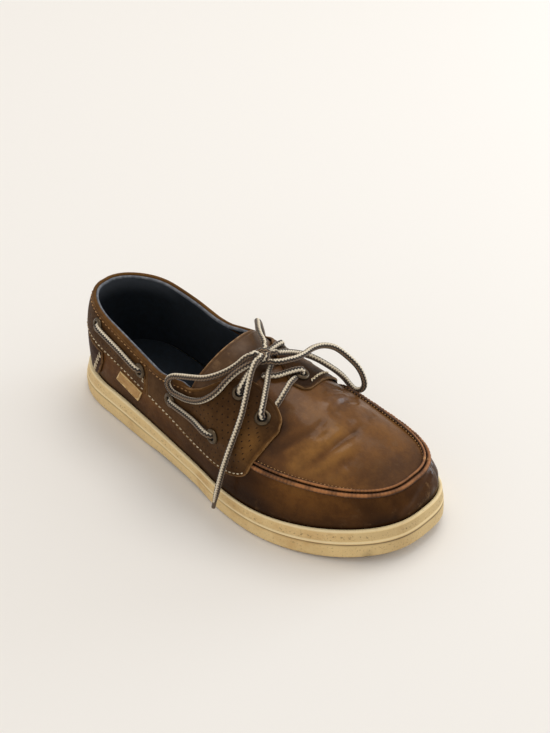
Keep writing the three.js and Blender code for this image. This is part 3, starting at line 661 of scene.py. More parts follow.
def leatherMaterial(name, look):
    # Dyed leather: mottled base, tan and darkened parts painted by the tone attribute, which hold rubbed wear
    # and the tan of stretched leather, and on several pieces painted shade and painted highlights; pale worn
    # edges, and where the look asks for them polished streaks and rows of punched holes, painted dark as the
    # shade inside them
    material, tree, shader, place = newMaterial(name)
    grain = useGroup(tree, grainGroup, Vector=place, Pebble=look.get("pebble", 900.0))
    edge, tone, rub = (attributeOf(tree, key) for key in ("edge", "tone", "rub"))
    wear = useGroup(tree, wearGroup, Vector=place, Edge=edge, Width=look.get("wearWidth", 1.2))["Mask"]
    colour = mixColour(tree, grain["Mottle"], look["base"], look["deep"])
    broken = mathNode(tree, "ADD", mathNode(tree, "MULTIPLY", grain["Mottle"], -0.5), 1.1)
    warm = mathNode(tree, "MULTIPLY", mathNode(tree, "MAXIMUM", tone, 0.0), broken, clamp=True)
    dark = mathNode(tree, "MINIMUM", mathNode(tree, "MAXIMUM", mathNode(tree, "MULTIPLY", tone, -1.0), 0.0),
                    1.0)
    # Tan for a positive tone and dark for a negative one; these carry the painted shade and painted highlights
    # laid on by the pieces
    colour = mixColour(tree, warm, colour, look["tan"])
    colour = mixColour(tree, dark, colour, look["dark"])
    scuffed = mathNode(tree, "MULTIPLY", grain["Scuff"], rub, clamp=True)
    colour = mixColour(tree, scuffed, colour, look["worn"])
    colour = mixColour(tree, mathNode(tree, "MULTIPLY", wear, look.get("wear", 0.6)), colour, look["worn"])
    height = grain["Height"]
    if look.get("holes"):
        uv = addNode(tree, "ShaderNodeTexCoord").outputs["UV"]
        punched = useGroup(tree, punchGroup, UV=uv, Pitch=look["holes"]["pitch"],
                           Radius=look["holes"]["radius"])["Mask"]
        inside = mathNode(tree, "MULTIPLY", punched, attributeOf(tree, "holes"))
        # The holes are painted dark: painted shade inside them
        colour = mixColour(tree, inside, colour, paint(28, 16, 10))
        height = mathNode(tree, "SUBTRACT", height, mathNode(tree, "MULTIPLY", inside, 3.0))
    tree.links.new(colour, shader.inputs["Base Color"])
    rough = mathNode(tree, "ADD", rangeNode(tree, grain["Mottle"], 0.0, 1.0, look["rough"] - 0.05,
                                            look["rough"] + 0.06),
                     mathNode(tree, "MULTIPLY", scuffed, 0.25))
    if look.get("polish"):
        # Polished streaks are smoother and more coated; the lights make the gloss
        polished = mathNode(tree, "MULTIPLY", attributeOf(tree, "shine"), broken, clamp=True)
        rough = mathNode(tree, "SUBTRACT", rough, mathNode(tree, "MULTIPLY", polished, look["smoother"]),
                         clamp=True)
        coat = mathNode(tree, "ADD", mathNode(tree, "MULTIPLY", polished, look["polish"]), look["coat"],
                        clamp=True)
        tree.links.new(coat, shader.inputs["Coat Weight"])
    else:
        shader.inputs["Coat Weight"].default_value = look.get("coat", 0.2)
    tree.links.new(rough, shader.inputs["Roughness"])
    shader.inputs["Coat Roughness"].default_value = look.get("coatRough", 0.3)
    shader.inputs["Specular IOR Level"].default_value = look.get("specular", 0.5)
    bumpInto(tree, shader, height, look.get("bump", 0.35), 0.0004)
    return material


def clothMaterial(name, look):
    # Woven or brushed cloth with lint, lighter where the tone attribute says
    material, tree, shader, place = newMaterial(name)
    weave = useGroup(tree, clothGroup, Vector=place, Threads=look["threads"])
    colour = mixColour(tree, weave["Shade"], look["base"], look["lint"])
    colour = mixColour(tree, mathNode(tree, "MAXIMUM", attributeOf(tree, "tone"), 0.0, clamp=True), colour,
                       look["pale"])
    tree.links.new(colour, shader.inputs["Base Color"])
    shader.inputs["Roughness"].default_value = 0.9
    shader.inputs["Sheen Weight"].default_value = look.get("sheen", 0.2)
    bumpInto(tree, shader, weave["Height"], 0.5, 0.0003)
    return material


def threadMaterial(name, base, shade):
    # Thread in two tones, mixed by fine noise
    material, tree, shader, place = newMaterial(name)
    noise = addNode(tree, "ShaderNodeTexNoise", {"Vector": place, "Scale": 500.0, "Detail": 2.0})
    tree.links.new(mixColour(tree, rangeNode(tree, noise.outputs["Fac"], 0.35, 0.65), base, shade),
                   shader.inputs["Base Color"])
    shader.inputs["Roughness"].default_value = 0.75
    return material


def laceMaterial(name, look):
    # Round braid: stripes round the cord with saw-toothed edges; two sets of cream, dark, tan, dark
    material, tree, shader, place = newMaterial(name)
    uv = addNode(tree, "ShaderNodeUVMap", uv_map="UVMap").outputs["UV"]
    split = addNode(tree, "ShaderNodeSeparateXYZ", {"Vector": uv})
    strand = mathNode(tree, "MULTIPLY", split.outputs["Y"], 10.0 / look["pitch"])
    tooth = mathNode(tree, "PINGPONG", strand, 0.5)
    twist = mathNode(tree, "MULTIPLY", mathNode(tree, "SUBTRACT", tooth, 0.25), look["tooth"])
    around = mathNode(tree, "FRACT", mathNode(tree, "ADD",
                                              mathNode(tree, "MULTIPLY",
                                                       mathNode(tree, "ADD", split.outputs["X"], twist), 2.0),
                                                       look["turn"]))
    ramp = tree.nodes.new("ShaderNodeValToRGB")
    ramp.color_ramp.interpolation = "CONSTANT"
    stops = look["stripes"]
    while len(ramp.color_ramp.elements) < len(stops):
        ramp.color_ramp.elements.new(0.5)
    for element, (where, colour) in zip(ramp.color_ramp.elements, stops):
        element.position, element.color = where, colour
    tree.links.new(around, ramp.inputs["Fac"])
    plait = mathNode(tree, "PINGPONG", mathNode(tree, "ADD", strand,
                                                mathNode(tree, "MULTIPLY", split.outputs["X"], 8.0)), 0.5)
    dirt = useGroup(tree, dirtGroup, Vector=place, Patch=90.0)
    # Dark brown in the grooves between the plaits: painted shade
    shaded = mixColour(tree, rangeNode(tree, plait, 0.0, 0.16, 0.45, 0.0), ramp.outputs["Color"],
                       paint(40, 28, 20))
    shaded = mixColour(tree, mathNode(tree, "MULTIPLY", dirt["Patches"], 0.15), shaded, paint(112, 92, 70))
    tree.links.new(shaded, shader.inputs["Base Color"])
    shader.inputs["Roughness"].default_value = 0.82
    shader.inputs["Sheen Weight"].default_value = 0.15
    bumpInto(tree, shader, plait, 0.8, 0.0006)
    return material


def rubberMaterial(name, look):
    # Aged rubber: cream mottled with yellow, dirt specks and speckled texture on the bands, painted highlights
    # where the tone is positive and painted shade where it is negative
    material, tree, shader, place = newMaterial(name)
    dirt = useGroup(tree, dirtGroup, Vector=place, Patch=28.0)
    tone, rub = attributeOf(tree, "tone"), attributeOf(tree, "rub")
    colour = mixColour(tree, dirt["Patches"], look["base"], look["aged"])
    # Positive tone: painted highlight in a brighter cream
    colour = mixColour(tree, mathNode(tree, "MAXIMUM", tone, 0.0, clamp=True), colour, look["bright"])
    colour = mixColour(tree, mathNode(tree, "MULTIPLY", dirt["Specks"], mathNode(tree, "MULTIPLY", rub, 0.6)),
                       colour, look["grime_and_shade"])
    # Negative tone: painted shade in dark brown, in the groove, the recesses and along the bottom, and one
    # stain
    dark = mathNode(tree, "MAXIMUM", mathNode(tree, "MULTIPLY", tone, -1.0), 0.0, clamp=True)
    colour = mixColour(tree, dark, colour, look["grime_and_shade"])
    tree.links.new(colour, shader.inputs["Base Color"])
    shader.inputs["Roughness"].default_value = 0.62
    grain = addNode(tree, "ShaderNodeTexNoise", {"Vector": place, "Scale": 900.0, "Detail": 3.0})
    bumpInto(tree, shader, mathNode(tree, "MULTIPLY", grain.outputs["Fac"], mathNode(tree, "ADD", rub, 0.15)),
             0.7, 0.0008)
    return material


def metalMaterial(name, look):
    # Aged metal, dull and rougher in patches
    material, tree, shader, place = newMaterial(name)
    dirt = useGroup(tree, dirtGroup, Vector=place, Patch=260.0)
    tree.links.new(mixColour(tree, dirt["Patches"], look["base"], look["dull"]), shader.inputs["Base Color"])
    tree.links.new(rangeNode(tree, dirt["Patches"], 0.0, 1.0, 0.28, 0.5), shader.inputs["Roughness"])
    shader.inputs["Metallic"].default_value = 0.85
    bumpInto(tree, shader, dirt["Specks"], 0.1, 0.0002)
    return material


def plainDark(name, colour, rough):
    # One colour, mottled down to 0.6 of itself
    material, tree, shader, place = newMaterial(name)
    noise = addNode(tree, "ShaderNodeTexNoise", {"Vector": place, "Scale": 300.0})
    tree.links.new(mixColour(tree, noise.outputs["Fac"], colour, tuple(c * 0.6 for c in colour[:3]) + (1.0,)),
                   shader.inputs["Base Color"])
    shader.inputs["Roughness"].default_value = rough
    return material


lightBrown = {"tan": paint(144, 100, 48), "worn": paint(176, 136, 92)}
upperLook = {**lightBrown, "base": paint(112, 73, 34), "deep": paint(88, 55, 25),
    "dark": paint(42, 23, 8), "rough": 0.42, "coat": 0.18, "coatRough": 0.16, "specular": 0.07, "wear": 0.0,
    "bump": 0.45,
    "polish": 0.82, "smoother": 0.12}
upperLeather = leatherMaterial("upper_leather", upperLook)
# The plug's leather with less coat and a little darker: painted shade on the side wall
wallLeather = leatherMaterial("wall_leather",
                              {**upperLook, "base": paint(108, 69, 30), "deep": paint(84, 51, 22),
    "coat": 0.07, "specular": 0.03})
quarterLeather = leatherMaterial("side_leather",
                                 {**lightBrown, "base": paint(84, 57, 30), "deep": paint(64, 41, 20),
    "dark": paint(34, 20, 11), "rough": 0.5, "coat": 0.0, "specular": 0.05, "wear": 0.3, "wearWidth": 0.8,
    "bump": 0.45,
    "holes": {"pitch": 0.0046, "radius": 0.11}})
counterLeather = leatherMaterial("counter_leather",
                                 {**lightBrown, "base": paint(66, 42, 28), "deep": paint(50, 31, 20),
    "dark": paint(28, 17, 11), "rough": 0.55, "coat": 0.0, "specular": 0.04, "wear": 0.3})
tongueLeather = leatherMaterial("tongue_leather",
                                {**lightBrown, "base": paint(88, 60, 31), "deep": paint(72, 47, 24),
    "dark": paint(40, 24, 13), "rough": 0.46, "coat": 0.0, "specular": 0.25, "wear": 0.6, "wearWidth": 1.3})
seamLeather = leatherMaterial("seam_leather", {"tan": paint(164, 108, 62), "worn": paint(212, 160, 108),
    "base": paint(96, 60, 28), "deep": paint(76, 45, 21), "dark": paint(30, 16, 8), "rough": 0.5, "coat": 0.0,
    "specular": 0.25, "wear": 0.0,
    "bump": 0.6})
tagLeather = leatherMaterial("tag_leather", {"tan": paint(206, 166, 104), "worn": paint(222, 190, 134),
    "base": paint(180, 138, 82), "deep": paint(158, 116, 64), "dark": paint(90, 60, 32), "rough": 0.5,
    "coat": 0.0, "specular": 0.25, "wear": 0.8})
liningCloth = clothMaterial("lining_cloth", {"base": paint(9, 19, 28), "lint": paint(15, 28, 40),
                                             "pale": paint(92, 98, 106), "threads": 2400.0, "sheen": 0.0})
bindingCloth = clothMaterial("binding_cloth",
                             {"base": paint(92, 96, 104), "lint": paint(128, 130, 134),
                              "pale": paint(140, 142, 146), "threads": 1300.0, "sheen": 0.05})
paleThread = threadMaterial("pale_thread", paint(232, 216, 186), paint(184, 162, 128))
tanThread = threadMaterial("tan_thread", paint(186, 142, 88), paint(140, 96, 54))
laceCord = laceMaterial("lace_cord", {"pitch": 2.1, "tooth": 0.17, "turn": 0.0, "stripes": [
    (0.0, paint(232, 218, 192)), (0.23, paint(32, 22, 16)), (0.48, paint(126, 102, 76)),
    (0.66, paint(38, 27, 20)),
    (0.88, paint(176, 158, 130))]})
soleRubber = rubberMaterial("sole_rubber", {"base": paint(228, 198, 140), "aged": paint(206, 168, 108),
    "bright": paint(244, 224, 178), "grime_and_shade": paint(104, 80, 46)})
eyeletMetal = metalMaterial("eyelet_brass", {"base": paint(92, 78, 60), "dull": paint(50, 40, 32)})
# Dark colour of the eyelet discs: painted shade inside the holes
holeShade = plainDark("hole_shade", paint(14, 10, 8), 0.9)
tipPlastic = plainDark("lace_tip", paint(92, 74, 56), 0.35)
print("materials made")

# Free lace, first because its length is checked
laceSet = {
    "radius": 2.0, "wrapRadius": 1.95, "leadRadius": 1.96, "leadBack": 2.4,
    "loop_lateral": [
        (24.2, -11.0, 103.6), (22.4, -14.8, 102.2), (20.3, -19.0, 98.9), (17.1, -25.2, 95.6),
        (11.3, -31.3, 91.9), (5.0, -35.2, 89.0), (-4.0, -38.0, 86.4), (-13.2, -39.9, 83.6),
        (-18.6, -41.2, 81.6), (-22.4, -42.2, 78.2), (-23.3, -42.9, 74.2), (-21.2, -43.4, 71.0),
        (-17.2, -43.7, 69.7),
        (-12.5, -43.9, 70.3),
        (-3.6, -44.4, 72.2), (6.2, -43.4, 75.5), (13.4, -41.0, 80.4), (18.2, -36.4, 86.0),
        (20.8, -30.4, 92.0), (23.4, -22.7, 96.8), (26.2, -15.6, 99.4), (27.8, -11.0, 99.4)],
    "loop_medial": [
        (34.4, -2.0, 98.2), (37.8, 1.7, 98.0), (39.7, 6.6, 97.4), (41.6, 12.7, 96.6),
        (42.0, 19.5, 96.0), (41.4, 28.5, 95.2), (43.0, 36.5, 93.6), (47.0, 43.0, 90.3),
        (53.4, 48.0, 83.5), (60.4, 51.0, 76.0), (64.2, 52.0, 68.4), (65.2, 51.7, 62.6),
        (63.0, 50.7, 58.5), (59.0, 49.1, 57.8), (56.0, 47.5, 61.2), (53.6, 45.2, 66.6), (51.0, 41.4, 72.8),
        (47.6, 36.4, 79.2), (43.0, 31.8, 84.4), (37.6, 27.4, 88.0), (34.0, 22.2, 91.0),
        (32.6, 16.4, 94.4), (31.6, 10.4, 97.4), (30.6, 5.6, 99.4)],
    "end_lateral": [
        (29.9, -10.2, 103.2), (31.2, -15.0, 102.2), (33.4, -20.8, 98.0), (36.0, -26.4, 92.0),
        (38.4, -31.6, 86.0), (40.6, -37.2, 79.4), (42.0, -43.0, 72.8), (42.6, -48.2, 66.0),
        (42.6, -52.8, 58.5), (41.5, -56.4, 49.0), (40.0, -58.6, 39.5), (37.5, -60.4, 27.0),
        (33.8, -61.2, 12.0)],
    "end_medial": [
        (23.2, 2.6, 103.4), (19.0, 5.4, 103.8), (14.1, 8.2, 103.2), (6.5, 13.6, 101.8),
        (-0.9, 20.2, 99.2), (-8.0, 26.6, 94.0), (-13.6, 33.4, 86.0), (-17.4, 38.2, 77.6),
        (-19.6, 41.6, 69.0), (-20.8, 43.6, 60.5), (-21.6, 44.2, 52.0), (-21.8, 43.6, 43.0),
        (-21.4, 42.4, 34.0)],
    "knot": (26.8, -3.3, 99.4),
}
knotPlace = np.array(laceSet["knot"])


def knotRing(tilt, heading, long, short, lift):
    # Closed wrap of the knot: an ellipse turned by heading about Z and tilted out of the level
    angle = np.linspace(0, 2 * np.pi, 40, endpoint=False)
    flat = np.stack([long * np.cos(angle), short * np.sin(angle), 0.7 * np.sin(2 * angle)], -1)
    lean, head = math.radians(tilt), math.radians(heading)
    tiltMatrix = np.array([[1, 0, 0], [0, math.cos(lean), -math.sin(lean)],
                           [0, math.sin(lean), math.cos(lean)]])
    headMatrix = np.array([[math.cos(head), -math.sin(head), 0], [math.sin(head), math.cos(head), 0],
                           [0, 0, 1]])
    return flat @ tiltMatrix.T @ headMatrix.T + knotPlace + np.array([0, 0, lift])


knotPieces = []
for number, ring in enumerate([knotRing(78, 62, 4.4, 3.6, 0.6), knotRing(30, -20, 4.6, 3.4, 0.2),
                               knotRing(96, 8, 4.0, 3.4, -0.3)]):
    wrap = tubeObject(f"knot_wrap_{number + 1}", ring, laceSet["wrapRadius"], laceCord, sides=16, closed=True)
    knotPieces.append(dress(wrap, "lace_cord", "knot"))

# Short leads carry each strand from its place outside the wraps into the middle of the knot
leadStarts = [(name, first, second) for name in ("loop_lateral", "loop_medial")
              for first, second in ((0, 1), (-1, -2))]
leadStarts += [("end_lateral", 0, 1), ("end_medial", 0, 1)]
for number, (name, first, second) in enumerate(leadStarts):
    near, beyond = np.array(laceSet[name][first]), np.array(laceSet[name][second])
    back = near + unit(near - beyond) * laceSet["leadBack"]
    lead = smoothPath([near + (beyond - near) * 0.15, back, back * 0.45 + knotPlace * 0.55, knotPlace], 0.7)
    knotPieces.append(dress(tubeObject(f"knot_lead_{number + 1}", lead, laceSet["leadRadius"], laceCord,
                                       sides=14), "lace_cord", "knot"))

cordFacts = {
    "loop_lateral": {"far": "object", "lay": "loose", "tip": False},
    "loop_medial": {"far": "object", "lay": "loose", "tip": False},
    "end_lateral": {"far": "bare", "lay": "hanging", "tip": True},
    "end_medial": {"far": "bare", "lay": "hanging", "tip": True},
}
for cordName, facts in cordFacts.items():
    path = smoothPath(laceSet[cordName], 1.0)
    size = np.ones(len(path))
    if facts["tip"]:
        left = lengthsAlong(path, 0)[-1] - lengthsAlong(path, 0)
        size = 0.62 + 0.38 * smooth(1.0, 16.0, left)
        size[-1] = 0.3
    cord = tubeObject(cordName + "_braid", path, laceSet["radius"], laceCord, sides=16, taper=size)
    dress(cord, "lace_cord", cordName)
    pieces = knotPieces if cordName == "loop_lateral" else []
    if facts["tip"]:
        last = path[-9:]
        sleeve = tubeObject(cordName + "_tip", roundEnds(last, 1.4), 1.42, tipPlastic, sides=14)
        pieces = pieces + [dress(sleeve, "lace_cord", cordName)]
print("free lace laid")

# Sole
soleSet = {"length": 300.0, "around": 300,
           "profile": {"at": [0, 0.02, 0.05, 0.09, 0.13, 0.42, 0.455, 0.485, 0.51, 0.535, 0.56, 0.585, 0.62,
                              0.645,
                              0.67, 0.70, 0.80, 0.92, 0.955, 0.985, 1.0],
                       "inset": [2.0, 1.1, 0.45, 0.1, 0.0, 0.0, 0.12, 0.9, 1.25, 0.7, 0.2, 0.1, 0.12, 0.35,
                                 0.62, 0.55, 0.6, 0.65, 0.7, 0.9, 1.5]},
           "treadPitch": 7.0, "treadDepth": 1.3}


def treadHeight(s):
    # Lift of the underside: the waist between two smooth steps, and a parabola up to the toe
    waist = smooth(0.3, 0.38, s) * (1 - smooth(0.5, 0.58, s))
    return 2.2 * waist + 6.5 * np.maximum(0, (s - 0.76) / 0.24) ** 2


def makeSole(soleSet):
    # Side bands: the profile's inset at each share of the height, carried round the plan of the sole,
    # and the rim that turns in to the upper
    turns = ringTurns(soleSet["around"] // 2)
    s, side = sideOf(turns)
    profile = soleSet["profile"]
    shares = np.array(profile["at"])
    share, station = np.meshgrid(shares, s)
    sides = np.broadcast_to(side[:, None], share.shape)
    lean = np.clip((share - 0.5) / 0.5, 0, 1) * (rimInset(station) - 0.9)
    inset = np.interp(share, shares, profile["inset"]) + lean
    heel = 2.0 * (1 - smooth(0, 0.09, share)) + 3.0 * np.clip((share - 0.5) * 2, 0, 1)
    toe = soleSet["length"] - 2.0 * (1 - smooth(0, 0.09, share)) - 1.4 * np.clip((share - 0.5) * 2, 0, 1)
    low, rim = treadHeight(station), rimHeight(station)
    band = ringPoint(station, sides, inset, heel, toe, low + share * (rim - low))
    band[..., :] += 0.12 * softWaves(band, 34.0, 3)[..., None] * np.array([0, 1, 0])
    lip = offLast(turns[:, None], np.array([[0.150, 0.125, 0.09]]), np.array([[0.75, 0.3, 0.3]]))
    lip[:, 0, 2] = rim[:, 0] - 0.15
    points = np.concatenate([band, lip], 1)
    rows, columns = points.shape[:2]
    faces, spread = gridFaces(rows, columns, True, False)
    shareAll = np.concatenate([share, np.full((rows, 3), 1.0)], 1)
    # Tone: painted shade in the groove, on the foot that turns under and on the lip's row where it meets the
    # leather; painted highlights on the bead and along the top band; darker towards the toe tip; a narrow stain
    # near the lateral toe; slow waves of aging
    groove = bell(shareAll - 0.51, 0.022)
    bright = bell(shareAll - 0.60, 0.035) + 0.8 * smooth(0.93, 0.965, shareAll)
    under = bell(shareAll, 0.05)
    toeDarkening = smooth(0.9, 0.99, np.concatenate([station, station[:, :3]], 1)) * 0.25
    tone = bright - 0.95 * groove - 0.7 * under - toeDarkening
    tone[:, -1] = -0.7
    tone = tone - 0.6 * bell(turns[:, None] - 0.948, 0.008) * bell(shareAll - 0.06,
                                                                   0.12) + 0.10 * softWaves(points, 26.0, 7)
    rub = ((shareAll > 0.66) & (shareAll < 0.92)) * 1.0 + (shareAll < 0.44) * 0.55 + 0.1
    return points, faces, tone, rub


solePoints, soleFaces, soleTone, soleRub = makeSole(soleSet)
soleWall = meshObject("sole_wall", solePoints, soleFaces, None, {"tone": soleTone, "rub": soleRub}, soleRubber)
dress(soleWall, "sole_rubber", "sole")


def makeTread(soleSet):
    # Underside between the two outlines: y goes straight across, z is cut up by rows of wavy slots,
    # max(0, sin) to the fourth of the distance along, and stays flat near the outline
    s = np.unique(np.r_[sideStations(60), np.linspace(0.02, 0.98, 420)])
    across = graded(70, 0.6)
    left = ringPoint(s, -1.0, 2.0, 2.0, 298.0, treadHeight(s))
    right = ringPoint(s, 1.0, 2.0, 2.0, 298.0, treadHeight(s))
    points = left[:, None] + across[None, :, None] * (right - left)[:, None]
    width = np.abs(right - left)[:, 1][:, None]
    border = smooth(2.0, 5.0, np.minimum(across, 1 - across)[None] * width)
    border = border * smooth(0.015, 0.05, s)[:, None] * (1 - smooth(0.95, 0.985, s))[:, None]
    wave = points[..., 0] + 2.2 * np.sin(points[..., 1] * 2 * np.pi / 14.0)
    slot = np.maximum(0, np.sin(wave * 2 * np.pi / soleSet["treadPitch"])) ** 6
    points[..., 2] += soleSet["treadDepth"] * slot * border
    faces, _ = gridFaces(*points.shape[:2], False, False)
    # Tone: the slots painted darker as shade in the recesses, and the whole underside a little darker
    return points, faces, -0.8 * slot * border - 0.25, np.full(slot.shape, 0.8)


treadPoints, treadFaces, treadTone, treadRub = makeTread(soleSet)
treadPlate = meshObject("sole_tread", treadPoints, treadFaces[:, ::-1], None,
                        {"tone": treadTone, "rub": treadRub}, soleRubber)
dress(treadPlate, "sole_rubber", "sole")
print("sole made")

# Footbed
footbedSet = {"inset": 8.0, "heel": 12.0, "toe": 291.0, "thickness": 4.0, "cup": 1.4}


def makeFootbed(footbedSet):
    # Pad between the two outlines; its top is full height with round edges and dips at the heel
    s = graded(150, 0.8)
    across = graded(60, 0.7)
    low = rimHeight(s) - 4.8
    left = ringPoint(s, -1.0, footbedSet["inset"], footbedSet["heel"], footbedSet["toe"], low)
    right = ringPoint(s, 1.0, footbedSet["inset"], footbedSet["heel"], footbedSet["toe"], low)
    base = left[:, None] + across[None, :, None] * (right - left)[:, None]
    edge, _ = nearest(base, denser(outlineOf(base), 3))
    share = np.sqrt(1 - (1 - np.clip(edge / 2.5, 0, 1)) ** 2)
    dip = footbedSet["cup"] * smooth(0.32, 0.12, s)[:, None] * smooth(4, 20, edge)
    top = base.copy()
    top[..., 2] += footbedSet["thickness"] * share - dip
    faces, _ = gridFaces(*base.shape[:2], False, False)
    allFaces = np.concatenate([faces, faces[:, ::-1] + base.shape[0] * base.shape[1]])
    tone = np.concatenate([(0.25 * bell(edge, 1.5)).ravel(), np.zeros(edge.size)])
    return np.concatenate([top.reshape(-1, 3), base.reshape(-1, 3)]), allFaces, tone


footPoints, footFaces, footTone = makeFootbed(footbedSet)
footbed = meshObject("footbed_pad", footPoints, footFaces, None, {"tone": footTone}, liningCloth)
dress(footbed, "footbed_cloth", "footbed")
print("footbed made")

# Upper: wall and toe plug
# Creases and soft ridges: points (turn, level), width and height in millimetres, tone of the leather, which
# paints shade into the grooves and the pull-up tan onto the ridges
creaseTable = [
    {"line": [(0.728, 1.08), (0.736, 1.27), (0.726, 1.54), (0.712, 1.72), (0.700, 1.90)], "width": 6.0,
     "height": -0.8, "tone": -0.75},
    {"line": [(0.736, 1.10), (0.762, 1.33), (0.778, 1.51), (0.795, 1.77), (0.785, 2.05)], "width": 3.4,
     "height": -1.2, "tone": -0.6},
    {"line": [(0.790, 1.03), (0.803, 1.22), (0.815, 1.42), (0.824, 1.66), (0.822, 1.92), (0.810, 2.14)],
     "width": 5.4, "height": 1.4, "tone": 0.75},
    {"line": [(0.818, 1.08), (0.836, 1.33), (0.842, 1.60), (0.846, 1.80), (0.850, 2.00), (0.846, 2.20)],
     "width": 2.6, "height": -1.4, "tone": -0.75},
    {"line": [(0.833, 1.08), (0.854, 1.31), (0.862, 1.52), (0.868, 1.75), (0.866, 1.98)], "width": 4.2,
     "height": 0.9, "tone": 0.6},
    {"line": [(0.852, 1.10), (0.874, 1.30), (0.884, 1.52), (0.888, 1.76)], "width": 3.0, "height": -0.6,
     "tone": -0.4},
    {"line": [(0.872, 1.10), (0.896, 1.28), (0.902, 1.46)], "width": 4.5, "height": 0.4, "tone": 0.35},
    {"line": [(0.752, 1.12), (0.776, 1.36), (0.792, 1.62), (0.797, 1.90), (0.786, 2.16)], "width": 2.2,
     "height": 0.6, "tone": 0.35},
    {"line": [(1.255, 1.30), (1.252, 1.50), (1.243, 1.75), (1.238, 1.95)], "width": 4.0, "height": 1.0,
     "tone": 0.0},
    {"line": [(1.228, 1.22), (1.230, 1.48), (1.222, 1.80), (1.205, 1.98)], "width": 3.0, "height": -0.9,
     "tone": -0.25},
    {"line": [(1.201, 1.25), (1.200, 1.48), (1.180, 1.66), (1.160, 1.86)], "width": 4.4, "height": 0.8,
     "tone": 0.0},
    {"line": [(1.172, 1.28), (1.166, 1.48), (1.148, 1.68)], "width": 2.6, "height": -0.5, "tone": -0.15},
    {"line": [(1.278, 1.22), (1.282, 1.50), (1.272, 1.80)], "width": 3.0, "height": -0.7, "tone": -0.3},
    {"line": [(1.008, 0.80), (1.012, 0.50), (1.006, 0.25)], "width": 3.0, "height": 0.7, "tone": 0.0},
    {"line": [(1.028, 0.92), (1.022, 0.55), (1.014, 0.22)], "width": 2.4, "height": -0.9, "tone": -0.2},
    {"line": [(1.048, 0.90), (1.040, 0.55), (1.034, 0.25)], "width": 3.4, "height": 0.7, "tone": 0.0},
    {"line": [(0.985, 0.78), (0.990, 0.48), (0.984, 0.20)], "width": 2.2, "height": -0.6, "tone": -0.2},
    {"line": [(0.958, 0.74), (0.968, 0.50)], "width": 2.2, "height": 0.4, "tone": 0.0},
    {"line": [(0.940, 0.80), (0.946, 0.52), (0.944, 0.28)], "width": 3.0, "height": -0.35, "tone": -0.1},
    {"line": [(1.085, 0.85), (1.075, 0.50), (1.07, 0.25)], "width": 3.0, "height": -0.5, "tone": -0.1},
    {"line": [(0.70, 0.80), (0.74, 0.62), (0.79, 0.52)], "width": 4.0, "height": -0.4, "tone": -0.15},
    {"line": [(0.62, 0.40), (0.70, 0.34), (0.78, 0.36)], "width": 4.5, "height": -0.35, "tone": -0.1},
    {"line": [(1.36, 0.75), (1.31, 0.58), (1.25, 0.50)], "width": 4.0, "height": -0.5, "tone": -0.15},
    {"line": [(1.42, 0.45), (1.34, 0.36), (1.26, 0.38)], "width": 4.5, "height": -0.4, "tone": -0.1},
    {"line": [(0.36, 0.34), (0.45, 0.28), (0.52, 0.30)], "width": 3.5, "height": -0.3, "tone": -0.1},
    {"line": [(0.15, 0.30), (0.22, 0.24), (0.30, 0.28)], "width": 3.5, "height": -0.3, "tone": -0.1},
    {"line": [(1.70, 0.40), (1.62, 0.28), (1.54, 0.32)], "width": 4.0, "height": -0.4, "tone": -0.1},
]
# Polished streaks: points (turn, level), width in millimetres, strength
shineTable = [
    {"line": [(1.262, 1.38), (1.256, 1.52), (1.246, 1.74), (1.240, 1.92)], "width": 2.2, "strength": 0.55},
    {"line": [(1.246, 1.50), (1.238, 1.70)], "width": 1.4, "strength": 0.4},
    {"line": [(1.206, 1.36), (1.203, 1.46), (1.188, 1.60), (1.172, 1.70)], "width": 2.4, "strength": 0.38},
    {"line": [(1.150, 1.42), (1.140, 1.58)], "width": 2.6, "strength": 0.25},
    {"line": [(1.022, 0.92), (1.014, 0.74), (1.006, 0.50), (1.002, 0.26)], "width": 2.6, "strength": 1.0},
    {"line": [(1.008, 0.84), (1.000, 0.62), (0.996, 0.40)], "width": 1.5, "strength": 0.7},
    {"line": [(1.040, 0.88), (1.032, 0.60), (1.024, 0.30)], "width": 2.6, "strength": 0.9},
    {"line": [(1.060, 0.84), (1.052, 0.56), (1.044, 0.28)], "width": 2.6, "strength": 0.6},
    {"line": [(1.000, 0.56), (0.996, 0.44), (0.990, 0.34)], "width": 1.6, "strength": 0.3},
    {"line": [(1.028, 0.92), (1.020, 0.66), (1.014, 0.36)], "width": 7.5, "strength": 0.58},
    {"line": [(1.250, 1.45), (1.235, 1.80)], "width": 8.0, "strength": 0.16},
]


def creaseFields(base):
    # Sum of humps exp(-(d / width)^2) along the listed lines, faded out towards both ends of a line
    height, tone = np.zeros(base.shape[:2]), np.zeros(base.shape[:2])
    for crease in creaseTable:
        knots = np.array(crease["line"])
        over = knots[:, 1] > 2     # a level above 2 stands for the other side of the ridge
        knots = lastPoint(np.where(over, 2 - knots[:, 0], knots[:, 0]),
                          np.where(over, 4 - knots[:, 1], knots[:, 1]))
        t = np.linspace(0, 1, 60)
        where = np.linspace(0, 1, len(knots))
        line = np.stack([np.interp(t, where, knots[:, k]) for k in range(3)], -1)
        distance, index = nearest(base, line)
        fade = smooth(0, 0.22, t[index]) * smooth(1, 0.78, t[index])
        hump = bell(distance, crease["width"]) * (0.15 + 0.85 * fade)
        height += crease["height"] * hump
        # Dark tones paint shade into the crease grooves; tan tones give the ridges the colour of stretched
        # pull-up leather
        tone += crease["tone"] * hump * (0.7 + 0.3 * softWaves(base, 16.0, 5))
    return height, tone


